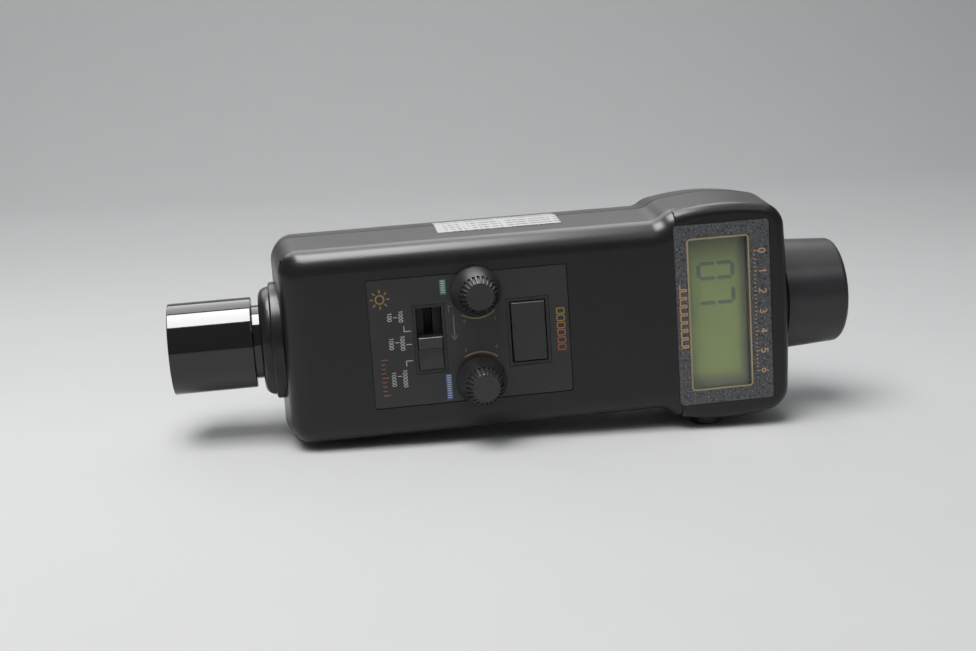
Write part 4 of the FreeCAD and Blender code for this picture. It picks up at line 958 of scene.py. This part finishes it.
@dataclass
class ControlPanel:
    """The printed panel with its switch, knobs and memory key; lengths on it in millimetres.

    An arc is given as its radius and its two end angles in degrees, an area as its lowest and
    highest x and z, and a stroke as its width and its path.
    """

    zero_gap: float = 0.25
    knob_x: float = 30.0
    knob_z: float = 12.6
    fine_arc: tuple[float, float, float] = (7.6, -125.0, -50.0)
    coarse_arc: tuple[float, float, float] = (8.1, 121.0, 52.0)
    arc_width: float = 0.36
    signs: tuple[tuple[float, float, Sign], ...] = (
        (26.4, 4.4, Sign.PLUS), (34.9, 4.5, Sign.MINUS),
        (26.3, -3.6, Sign.MINUS), (34.8, -3.4, Sign.PLUS))
    sign_arm: float = 0.55
    sign_width: float = 0.24
    green_area: Area = (20.2, 21.9, 12.4, 16.5)
    blue_area: Area = (20.1, 21.8, -17.2, -10.0)
    area_corner: float = 0.1
    tick_layer: float = 0.02
    tick_pitch: float = 0.62
    tick_width: float = 0.26
    tick_margin: float = 0.3
    ranges: tuple[tuple[float, str, str], ...] = (
        (8.6, "100", "1000"), (1.6, "1000", "10000"), (-7.9, "10000", "100000"))
    numeral_feet: Pair = (5.3, 8.4)
    numeral_height: float = 1.1
    far_lift: float = 0.4
    link_ends: Pair = (1.6, -0.4)
    link_drop: float = 1.4
    brackets: tuple[Path, ...] = (
        ((9.6, 4.6), (9.6, 3.1), (11.4, 3.1)),
        ((9.9, -0.6), (11.4, -0.6)),
        ((9.6, -6.7), (9.6, -5.2), (11.4, -5.2)))
    bracket_width: float = 0.22
    lamp_place: Pair = (3.6, 12.5)
    lamp_radius: float = 1.15
    lamp_width: float = 0.4
    ray_count: int = 8
    ray_start: float = 1.8
    ray_length: float = 0.9
    ray_width: float = 0.38
    arrow_strokes: tuple[tuple[float, Path], ...] = (
        (0.2, ((22.2, 7.4), (22.2, 9.0), (23.4, 9.0))),
        (0.3, ((23.4, 6.4), (23.4, -0.6))),
        (0.26, ((24.2, 0.9), (23.4, -0.6), (22.6, 0.9))))
    copper_start: float = -4.4
    copper_pitch: float = 1.25
    copper_count: int = 9
    copper_group: int = 4
    copper_foot: float = 2.6
    copper_ends: Pair = (4.6, 3.8)
    copper_width: float = 0.26
    cell_x: Pair = (52.2, 54.3)
    cell_top: float = 5.7
    cell_height: float = 1.5
    cell_corner: float = 0.3
    cell_line: float = 0.28
    cell_pitch: float = 2.05
    cell_count: int = 6
    fade_reach: float = 6.0
    plane: PrintPlane = field(init=False)

    film = Plastic(
        "panel_film", color=(0.019, 0.0188, 0.0194), roughness=0.42, mottle=0.15, grain=0.5 * MM,
        depth=0.003 * MM, dust=0.6)
    trim = Plastic("panel_trim", color=(0.012, 0.012, 0.0125), roughness=0.4)
    deep = Plastic("switch_deep_black", color=(0.012, 0.012, 0.012), roughness=0.6)
    key = Plastic("key_black", color=(0.018, 0.0177, 0.018), roughness=0.34, mottle=0.08)
    grip = Plastic(
        "knob_black", color=(0.022, 0.0217, 0.022), roughness=0.38, mottle=0.2, grain=0.6 * MM,
        depth=0.01 * MM, dust=0.4)
    slide = Plastic("slider_black", color=(0.022, 0.022, 0.0225), roughness=0.24)
    white = ink("ink_white", 166, 168, 164, 0.5)
    grey = ink("ink_grey", 104, 92, 86, 0.5)
    gold = ink("ink_gold", 136, 106, 56, 0.4)
    copper = ink("ink_copper", 128, 84, 68, 0.45)
    lime = ink("ink_lime", 134, 126, 82, 0.45)
    sand = ink("ink_sand", 130, 108, 84, 0.45)
    green = ink("ink_green", 62, 112, 84, 0.4)
    blue = ink("ink_blue", 50, 78, 122, 0.4)

    def __post_init__(self) -> None:
        """Reads where the panel lies."""
        self.plane = PrintPlane.on(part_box("control_panel"), self.zero_gap)

    def build(self) -> None:
        """Dresses the panel's nodes and prints its marks."""
        self.film.dress("control_panel")
        self.trim.dress("memory_frame", "switch_frame", "memory_switch")
        self.deep.dress("range_switch_body")
        self.key.dress("memory_button")
        self.slide.dress("range_slider")
        self.grip.dress("fine_knob", "coarse_knob")
        self.knob_marks()
        self.patch("green_patch", self.green, self.green_area)
        self.patch("blue_patch", self.blue, self.blue_area)
        self.range_scale()
        self.lamp_sign()
        self.ray_sign()
        self.ticks_and_cells()

    def knob_marks(self) -> None:
        """Arcs with plus and minus signs beside the two knobs."""
        upper, lower, signs = Solid(), Solid(), Solid()
        for solid, side, bow in ((upper, 1, self.fine_arc), (lower, -1, self.coarse_arc)):
            path = arc((self.knob_x, side * self.knob_z), *bow)
            self.plane.line(solid, path, self.arc_width)
        arm = self.sign_arm
        for x, z, sign in self.signs:
            self.plane.line(signs, [(x, z - arm), (x, z + arm)], self.sign_width)
            if sign is Sign.PLUS:
                self.plane.line(signs, [(x - arm, z), (x + arm, z)], self.sign_width)
        upper.piece("fine_arc", self.lime)
        lower.piece("coarse_arc", self.sand)
        signs.piece("knob_signs", self.grey)

    def patch(self, name: str, finish: Finish, area: Area) -> None:
        """Prints a coloured patch with a row of white ticks.

        Args:
            name: Name of its piece; the ticks' piece is named after it.
            finish: Its ink.
            area: Its edges as lowest x, highest x, lowest z and highest z.
        """
        x0, x1, z0, z1 = area
        ground, ticks = Solid(), Solid()
        self.plane.patch(ground, rounded(x0, x1, z0, z1, self.area_corner))
        top = self.plane.raised(self.tick_layer)
        for z in np.arange(z0 + self.tick_pitch, z1 - self.tick_margin, self.tick_pitch):
            top.line(ticks, [(x0 + self.tick_margin, z), (x1 - self.tick_margin, z)], self.tick_width)
        ground.piece(name, finish)
        ticks.piece(name + "_ticks", self.white)

    def range_scale(self) -> None:
        """Numerals of the three speed ranges, with lines to the switch."""
        scale = Solid()
        near, far = self.numeral_feet
        start, end = near + self.link_ends[0], far + self.link_ends[1]
        for z, low, high in self.ranges:
            self.plane.write(scale, low, near, z, self.numeral_height)
            self.plane.write(scale, high, far, z + self.far_lift, self.numeral_height)
            middle = z - self.link_drop
            self.plane.line(scale, [(start, middle), (end, middle)], self.bracket_width)
        for bracket in self.brackets:
            self.plane.line(scale, bracket, self.bracket_width)
        scale.piece("range_scale", self.white)

    def lamp_sign(self) -> None:
        """A ring with short rays, each c + r (cos a, sin a) for r from the ray's start to its end."""
        lamp = Solid()
        ring = loop(self.lamp_place, self.lamp_radius, self.lamp_radius)
        self.plane.line(lamp, ring, self.lamp_width, closed=True)
        for angle in np.linspace(0, 360, self.ray_count, endpoint=False):
            inner = arc(self.lamp_place, self.ray_start, angle, angle, 1)
            outer = arc(self.lamp_place, self.ray_start + self.ray_length, angle, angle, 1)
            self.plane.line(lamp, np.concatenate([inner, outer]), self.ray_width)
        lamp.piece("lamp_sign", self.gold)

    def ray_sign(self) -> None:
        """A hooked line and an arrow that points at the coarse knob."""
        ray = Solid()
        for width, path in self.arrow_strokes:
            self.plane.line(ray, path, width)
        ray.piece("ray_sign", self.grey)

    def ticks_and_cells(self) -> None:
        """A row of copper ticks under the lamp sign and the row of boxes beside the memory key."""
        ticks, cells = Solid(), Solid()
        long, short = self.copper_ends
        for k in range(self.copper_count):
            z = self.copper_start - self.copper_pitch * k
            end = short if k % self.copper_group else long
            self.plane.line(ticks, [(self.copper_foot, z), (end, z)], self.copper_width)
        for k in range(self.cell_count):
            z = self.cell_top - self.cell_pitch * k
            box = rounded(*self.cell_x, z - self.cell_height, z, self.cell_corner)
            self.plane.line(cells, box, self.cell_line, closed=True)
        ticks.piece("copper_ticks", self.copper)
        middle, reach = self.plane.middle, self.fade_reach * MM
        cells.piece("memory_cells", Fade("ink_fade", start=middle - reach, end=middle + reach))


@dataclass
class Display:
    """The display with its frame, window and digits; lengths on it in millimetres."""

    zero_gap: float = 0.15
    line_box: Area = (3.9, 21.5, -21.6, 21.6)
    line_corner: float = 0.9
    line_width: float = 0.42
    digit_foot: float = 7.3
    digit_height: float = 11.0
    digit_scale: float = 9.6
    digit_layer: float = 0.01
    digits_shown: tuple[tuple[str, float], ...] = (("0", 14.4), ("7", 7.3))
    bar_half: float = 0.05
    bar_gap: float = 0.015
    shadow_shift: Pair = (0.3, -0.3)
    rule_x: float = 22.9
    rule_top: float = 16.9
    rule_pitch: float = 1.15
    rule_steps: int = 31
    rule_group: int = 5
    rule_marks: Pair = (1.0, 0.5)
    rule_width: float = 0.26
    numeral_height: float = 1.9
    numeral_gap: float = 1.5
    numeral_lift: float = 0.55
    pulse_x: Pair = (1.3, 3.1)
    pulse_edges: Pair = (1.3, 1.9)
    pulse_top: float = 9.0
    pulse_pitch: float = 2.3
    pulse_count: int = 8
    pulse_width: float = 0.3
    plane: PrintPlane = field(init=False)
    glass: PrintPlane = field(init=False)

    granite = Granite("bezel_print")
    pane = Clear("display_pane", roughness=0.005, haze=0.012)
    cell = DisplayCell("display_cell")
    segment = ink("segment_grey", 68, 79, 66, 0.4)
    ghost = ink("segment_shadow", 90, 103, 61, 0.4)
    frame_grey = Plastic("display_frame_grey", color=(0.03, 0.032, 0.036), roughness=0.5)
    strip = Plastic("connector_strip", color=(0.6, 0.2, 0.24), roughness=0.7)
    line = ink("ink_line_gold", 152, 136, 100, 0.4)
    bronze = ink("ink_bronze", 186, 146, 112, 0.45)
    ochre = ink("ink_ochre", 186, 150, 100, 0.45)

    def __post_init__(self) -> None:
        """Reads where the frame plate and the cell lie."""
        self.plane = PrintPlane.on(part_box("display_bezel"), self.zero_gap)
        self.glass = PrintPlane(self.plane.left, self.plane.middle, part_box("lcd_glass")[0].y)

    def build(self) -> None:
        """Dresses the display's nodes, prints its frame and draws its digits."""
        self.granite.dress("display_bezel")
        self.pane.dress("display_window")
        self.cell.dress("lcd_glass")
        self.frame_grey.dress("lcd_frame")
        self.strip.dress("zebra_strips")
        edge = Solid()
        outline = rounded(*self.line_box, self.line_corner)
        self.plane.line(edge, outline, self.line_width, closed=True)
        edge.piece("gold_line", self.line)
        self.digits()
        self.rule()
        self.pulses()

    def digits(self) -> None:
        """The number 07 in seven segments, with its faint shadow on the cell's back."""
        dark, faint = Solid(), Solid()
        for digit, start in self.digits_shown:
            for bar in DIGIT_BARS[digit]:
                outline = self.bar_outline(bar)
                x = self.digit_foot + outline[:, 1] * self.digit_height
                shape = np.column_stack([x, start - outline[:, 0] * self.digit_scale])
                self.glass.raised(self.digit_layer).patch(dark, shape)
                self.glass.patch(faint, shape + np.array(self.shadow_shift))
        dark.piece("display_digits", self.segment)
        faint.piece("display_digit_shadow", self.ghost)

    def bar_outline(self, bar: Bar) -> Points:
        """Outline of one bar of a digit, running clockwise.

        A bar from p to q has the six corners p, p + e ± n, q - e ± n and q, where e and n are half
        its thickness along and across it.

        Args:
            bar: The bar.

        Returns:
            Points (6, 2) in the digit's own box.
        """
        p, q = (np.array(end) for end in bar.value)
        along = (q - p) / np.linalg.norm(q - p)
        p, q = p + along * self.bar_gap, q - along * self.bar_gap
        e = along * self.bar_half
        n = np.array([-e[1], e[0]])
        return np.array([p, p + e + n, q - e + n, q, q - e - n, p + e - n])

    def rule(self) -> None:
        """A graduated rule with numerals down the right side of the frame."""
        marks = Solid()
        long, short = self.rule_marks
        foot = self.rule_x + self.numeral_gap
        for k in range(self.rule_steps):
            z = self.rule_top - self.rule_pitch * k
            numbered = k % self.rule_group == 0
            end = self.rule_x + (long if numbered else short)
            self.plane.line(marks, [(self.rule_x, z), (end, z)], self.rule_width)
            if numbered:
                numeral = str(k // self.rule_group)
                self.plane.write(marks, numeral, foot, z + self.numeral_lift, self.numeral_height)
        marks.piece("frame_rule", self.bronze)

    def pulses(self) -> None:
        """A train of pulses down the left side of the frame."""
        train = Solid()
        low, high = self.pulse_x
        rise, fall = self.pulse_edges
        steps = [(low, self.pulse_top)]
        for k in range(self.pulse_count):
            z = self.pulse_top - self.pulse_pitch * k
            steps += [(low, z - rise), (high, z - rise), (high, z - fall), (low, z - fall)]
        self.plane.line(train, steps, self.pulse_width)
        train.piece("pulse_train", self.ochre)


@dataclass
class FlashLamp:
    """The glossy barrel with the flash tube, its reflector and its window.

    The barrel's profile holds its corners as length from the mouth, radius and rounding, in
    millimetres: the mouth, the shoulder, the neck, its flange and the bores.
    """

    profile: tuple[tuple[float, float, float], ...] = (
        (0.0, 11.3, 0.15), (0.0, 12.9, 0.25), (23.3, 12.9, 0.5), (23.3, 10.4, 0.1), (32.4, 10.4, 0.1),
        (32.4, 13.0, 0.1), (34.4, 13.0, 0.1), (34.4, 6.5, 0.1), (22.0, 6.5, 0.1), (22.0, 11.3, 0.1))
    steps: int = 192

    gloss = Plastic(
        "lamp_gloss", color=(0.006, 0.0055, 0.006), roughness=0.06, spread=0.03, mottle=0.1,
        grain=2 * MM, depth=0.002 * MM, ior=1.6)
    mirror = Metal("reflector_bright", color=(0.88, 0.89, 0.9), roughness=0.08, tarnish=(0.8, 0.8, 0.82))
    ceramic = Plastic(
        "socket_ceramic", color=(0.72, 0.7, 0.65), roughness=0.55, grain=0.5 * MM, depth=0.01 * MM)
    tube = Clear("flash_tube", roughness=0.01)
    wire = Metal("electrode_metal", color=(0.6, 0.58, 0.55), roughness=0.25)
    window = Clear("lamp_window", roughness=0.02)
    ring = Plastic("ring_black", color=(0.015, 0.015, 0.0155), roughness=0.4)
    lead = Plastic("lead_red", color=(0.35, 0.02, 0.015), roughness=0.4)

    def build(self) -> None:
        """Turns the barrel and dresses the lamp's nodes."""
        self.barrel()
        self.mirror.dress("lamp_reflector")
        self.ceramic.dress("lamp_socket")
        self.tube.dress("xenon_tube")
        self.wire.dress("lamp_electrodes", "trigger_band")
        self.window.dress("strobe_lens")
        self.ring.dress("strobe_lens_ring")
        self.lead.dress("lamp_leads")

    def barrel(self) -> None:
        """Stands for the barrel's node, whose flat facets show in its gloss."""
        low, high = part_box("strobe_barrel")
        middle = (low + high) / 2
        outline = softened(np.array(self.profile) * MM)
        solid = Solid()
        solid.add(*turned(outline, low.x, middle.y, middle.z, self.steps))
        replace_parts(solid.piece("lamp_barrel", self.gloss, smooth=True), "strobe_barrel")


@dataclass
class PhotoHead:
    """The satin barrel of the tachometer, its lens and its optics, and the measuring button."""

    satin = Plastic(
        "barrel_satin", color=(0.021, 0.0207, 0.0225), roughness=0.3, spread=0.06, grain=0.4 * MM,
        depth=0.004 * MM)
    lens = Clear("photo_lens", roughness=0.01, ior=1.5, color=(0.93, 0.97, 0.95))
    ring = Plastic("ring_satin", color=(0.015, 0.015, 0.0155), roughness=0.4)
    diode = Clear("diode_clear", roughness=0.05, color=(0.9, 0.3, 0.25))
    button = Plastic("button_black", color=(0.02, 0.02, 0.021), roughness=0.36)

    def build(self) -> None:
        """Dresses the head's nodes."""
        self.satin.dress("photo_barrel")
        self.lens.dress("photo_lens")
        self.ring.dress("photo_lens_ring", "optics_holder", "optics_baffle")
        self.diode.dress("light_source", "light_detector")
        self.button.dress("measure_button", "measure_switch")


@dataclass
class Electronics:
    """The boards with what is soldered on them; lengths in millimetres."""

    stripe_width: float = 4.0

    board = Board("circuit_board")
    chip = Plastic(
        "chip_black", color=(0.02, 0.02, 0.021), roughness=0.55, grain=0.25 * MM, depth=0.01 * MM)
    can = Metal("metal_can", color=(0.66, 0.66, 0.64), roughness=0.22)
    pot = Plastic("pot_blue", color=(0.02, 0.06, 0.2), roughness=0.35)
    shaft = Metal("shaft_metal", color=(0.7, 0.7, 0.71), roughness=0.28, lines=(1.0, 9.0, 1.0))
    ferrite = Plastic(
        "ferrite", color=(0.035, 0.035, 0.037), roughness=0.6, grain=0.6 * MM, depth=0.03 * MM)
    copper = Metal(
        "winding_copper", color=(0.72, 0.35, 0.2), roughness=0.3, lines=(6.0, 1.0, 1.0),
        tarnish=(0.4, 0.15, 0.08))

    def build(self) -> None:
        """Dresses the boards and their components."""
        self.board.dress("main_board", "strobe_board")
        self.chip.dress("board_chips")
        self.can.dress("crystal")
        self.pot.dress("fine_pot", "coarse_pot")
        self.shaft.dress("fine_shaft", "coarse_shaft")
        self.ferrite.dress("inverter_core")
        self.copper.dress("inverter_winding", "trigger_coil")
        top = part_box("flash_capacitor")[1].z
        jacket = Jacket(
            "capacitor_jacket", body=(0.02, 0.035, 0.09), band=(0.55, 0.56, 0.55),
            start=top - self.stripe_width * MM, end=top + MM)
        jacket.dress("flash_capacitor")


@dataclass
class BatteryBay:
    """The four cells with their springs and contacts; lengths in millimetres."""

    band_start: float = 2.5
    band_end: float = 16.0

    spring = Metal("spring_steel", color=(0.66, 0.66, 0.66), roughness=0.22)
    contact = Metal("contact_metal", color=(0.68, 0.66, 0.6), roughness=0.25, lines=(1.0, 8.0, 1.0))

    def build(self) -> None:
        """Dresses the bay's nodes."""
        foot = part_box("battery_cells")[0].z
        jacket = Jacket(
            "cell_jacket", body=(0.035, 0.036, 0.04), band=(0.42, 0.3, 0.1),
            start=foot + self.band_start * MM, end=foot + self.band_end * MM)
        jacket.dress("battery_cells")
        self.spring.dress("battery_springs")
        self.contact.dress("battery_contacts")


@dataclass(frozen=True)
class Lamp:
    """A rectangular soft light that faces a point."""

    name: str
    place: tuple[float, float, float]
    aim: tuple[float, float, float]
    width: float
    length: float
    radiance: float
    reach: Reach

    def build(self) -> None:
        """Adds the light; its power is pi times radiance times area, and its width lies along X."""
        data = bpy.data.lights.new(self.name, "AREA")
        data.shape = "RECTANGLE"
        data.size = self.width
        data.size_y = self.length
        data.energy = math.pi * self.radiance * self.width * self.length
        made = added(self.name, data)
        back = (Vector(self.place) - Vector(self.aim)).normalized()
        across = (Vector((1, 0, 0)) - back * back.x).normalized()
        stand(made, self.place, (across, back.cross(across), back))
        made.visible_camera = False
        made.visible_diffuse = self.reach is Reach.MATT
        made.visible_glossy = self.reach is Reach.GLOSS


@dataclass
class Studio:
    """The floor with its backdrop, the lights, the world and the camera.

    Angles are in degrees. A grey is given as its place on the paper, a share of the ramp, and its
    brightness; these greys are painted light, lightest just behind the object and darker towards the front
    and up the backdrop, standing in for light that falls off away from the object.
    """

    azimuth: float = 7.345
    elevation: float = 10.941
    roll: float = -3.908
    eye: tuple[float, float, float] = (-0.05980, -0.40377, 0.11248)
    focal_pixels: float = 1450.0
    image_width: float = 976.0
    sensor: float = 36.0
    floor_tilt: float = 2.37
    rest_x: float = 0.0543
    curve_start: float = 0.75
    curve_radius: float = 0.6
    wall_height: float = 1.6
    half_width: float = 2.7
    flat_steps: int = 12
    curve_steps: int = 40
    wall_steps: int = 8
    width_steps: int = 12
    world_color: Color = (0.9, 0.95, 1.0)
    world_strength: float = 0.17
    grey_shift: float = 1.0
    grey_scale: float = 0.25
    # Painted light: the paper is lightest just behind the object and darker to the front and up the
    # backdrop.
    falloff_greys: Path = (
        (0.18, 0.57), (0.22, 0.63), (0.255, 0.71), (0.31, 0.70), (0.36, 0.65), (0.45, 0.65),
        (0.58, 0.59))
    blotch: Color = (0.4, 0.4, 0.4)
    blotch_size: float = 40 * MM
    blotch_share: float = 0.03
    lamps: tuple[Lamp, ...] = (
        Lamp("key", (-0.20, -0.30, 0.80), (-0.06, -0.06, 0.03), 0.50, 0.60, 6.4, Reach.MATT),
        Lamp("front_fill", (-0.35, -0.85, 1.05), (0.0, -0.1, 0.0), 0.80, 0.60, 2.2, Reach.MATT),
        Lamp("backdrop_light", (0.05, 0.5, 0.80), (0.05, 1.3, 0.30), 1.60, 0.25, 2.6, Reach.MATT),
        Lamp("overhead", (-0.08, -0.06, 0.80), (-0.08, -0.06, 0.03), 0.38, 0.56, 16.0, Reach.GLOSS),
        Lamp("overhead_back", (-0.08, 0.58, 0.72), (-0.08, 0.0, 0.03), 0.94, 0.66, 3.0, Reach.GLOSS),
        Lamp("overhead_right", (0.48, 0.30, 0.80), (0.48, 0.30, 0.03), 0.64, 1.20, 0.9, Reach.GLOSS),
        Lamp("front_right", (0.42, -0.58, 0.75), (0.30, 0.0, 0.03), 0.50, 0.36, 1.6, Reach.GLOSS),
    )

    def build(self) -> None:
        """Sets up the stage."""
        self.floor()
        self.camera()
        self.world()
        for lamp in self.lamps:
            lamp.build()
        bpy.context.scene.view_settings.view_transform = "Standard"

    def floor(self) -> None:
        """Floor that sweeps up into a backdrop.

        With s the length along the sweep, it runs flat to the curve, then as
        (start + r sin(s / r), r (1 - cos(s / r))) through a quarter turn, and then straight up.
        The whole is turned about Y so that it touches the button and the end of the grip.
        """
        quarter = self.curve_radius * math.pi / 2
        flat = np.linspace(-self.wall_height, self.curve_start, self.flat_steps)
        bend = self.curve_start + np.linspace(0, quarter, self.curve_steps)[1:]
        wall = self.curve_start + quarter + np.linspace(0, self.wall_height, self.wall_steps)[1:]
        s = np.concatenate([flat, bend, wall])
        turn = np.clip((s - self.curve_start) / self.curve_radius, 0, math.pi / 2)
        y = np.minimum(s, self.curve_start) + self.curve_radius * np.sin(turn)
        z = self.curve_radius * (1 - np.cos(turn)) + np.maximum(s - self.curve_start - quarter, 0)
        x = np.linspace(-self.half_width, self.half_width, self.width_steps)
        tilt = math.radians(self.floor_tilt)
        grid_x, grid_y = np.meshgrid(x, y)
        grid_z = np.meshgrid(x, z)[1]
        turned_x = self.rest_x + grid_x * math.cos(tilt) + grid_z * math.sin(tilt)
        turned_z = grid_z * math.cos(tilt) - grid_x * math.sin(tilt)
        points = np.stack([turned_x, grid_y, turned_z], -1).reshape(-1, 3)
        i, j = np.meshgrid(np.arange(len(y) - 1), np.arange(len(x) - 1), indexing="ij")
        a = i * len(x) + j
        faces = np.stack([a, a + 1, a + len(x) + 1, a + len(x)], -1).reshape(-1, 4)
        mesh = bpy.data.meshes.new("floor")
        mesh.from_pydata(points.tolist(), [], faces.tolist())
        mesh.polygons.foreach_set("use_smooth", [True] * len(faces))
        made = added("floor", mesh)
        made.data.materials.append(self.paper())

    def paper(self) -> Material:
        """Pale paper with painted light: its grey changes with the sum of Y and Z, lightest just behind
        the object and darker from there to the front and up the backdrop.

        Returns:
            The material, with its graph closed.
        """
        graph = Graph("backdrop_paper")
        far = graph.axis("Y") + graph.axis("Z")
        share = (far + self.grey_shift) * self.grey_scale
        stops = [(place, (grey, grey, grey)) for place, grey in self.falloff_greys]
        ramp = graph.node("ShaderNodeValToRGB", {"stops": stops}, {0: share})
        cloud = graph.noise(self.blotch_size, 3.0).above(0.3, 0.7)
        color = graph.mix(cloud * self.blotch_share, ramp.outputs[0], self.blotch)
        return graph.surface({"Base Color": color, "Roughness": 0.8})

    def camera(self) -> None:
        """Camera at the photograph's viewing angle."""
        az, el, roll = (math.radians(a) for a in (self.azimuth, self.elevation, self.roll))
        ahead = Vector((math.sin(az) * math.cos(el), math.cos(az) * math.cos(el), -math.sin(el)))
        level = ahead.cross(Vector((0, 0, 1))).normalized()
        above = level.cross(ahead)
        right = level * math.cos(roll) + above * math.sin(roll)
        up = above * math.cos(roll) - level * math.sin(roll)
        data = bpy.data.cameras.new("camera")
        data.sensor_width = self.sensor
        data.lens = self.focal_pixels / self.image_width * self.sensor
        data.clip_start = 0.01
        made = added("camera", data)
        stand(made, self.eye, (right, up, -ahead))
        bpy.context.scene.camera = made

    def world(self) -> None:
        """Dim even surroundings."""
        world = bpy.data.worlds.new("surroundings")
        world.use_nodes = True
        background = world.node_tree.nodes["Background"]
        background.inputs["Color"].default_value = (*self.world_color, 1.0)
        background.inputs["Strength"].default_value = self.world_strength
        bpy.context.scene.world = world


def main() -> None:
    """Builds the sub-assemblies in order."""
    logging.basicConfig(level=logging.INFO, format="%(name)s %(message)s")
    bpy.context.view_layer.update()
    kinds = (Shell, ControlPanel, Display, FlashLamp, PhotoHead, Electronics, BatteryBay, Studio)
    for kind in kinds:
        kind().build()
        LOG.info("%s done", kind.__name__)


if __name__ == "__main__":
    main()
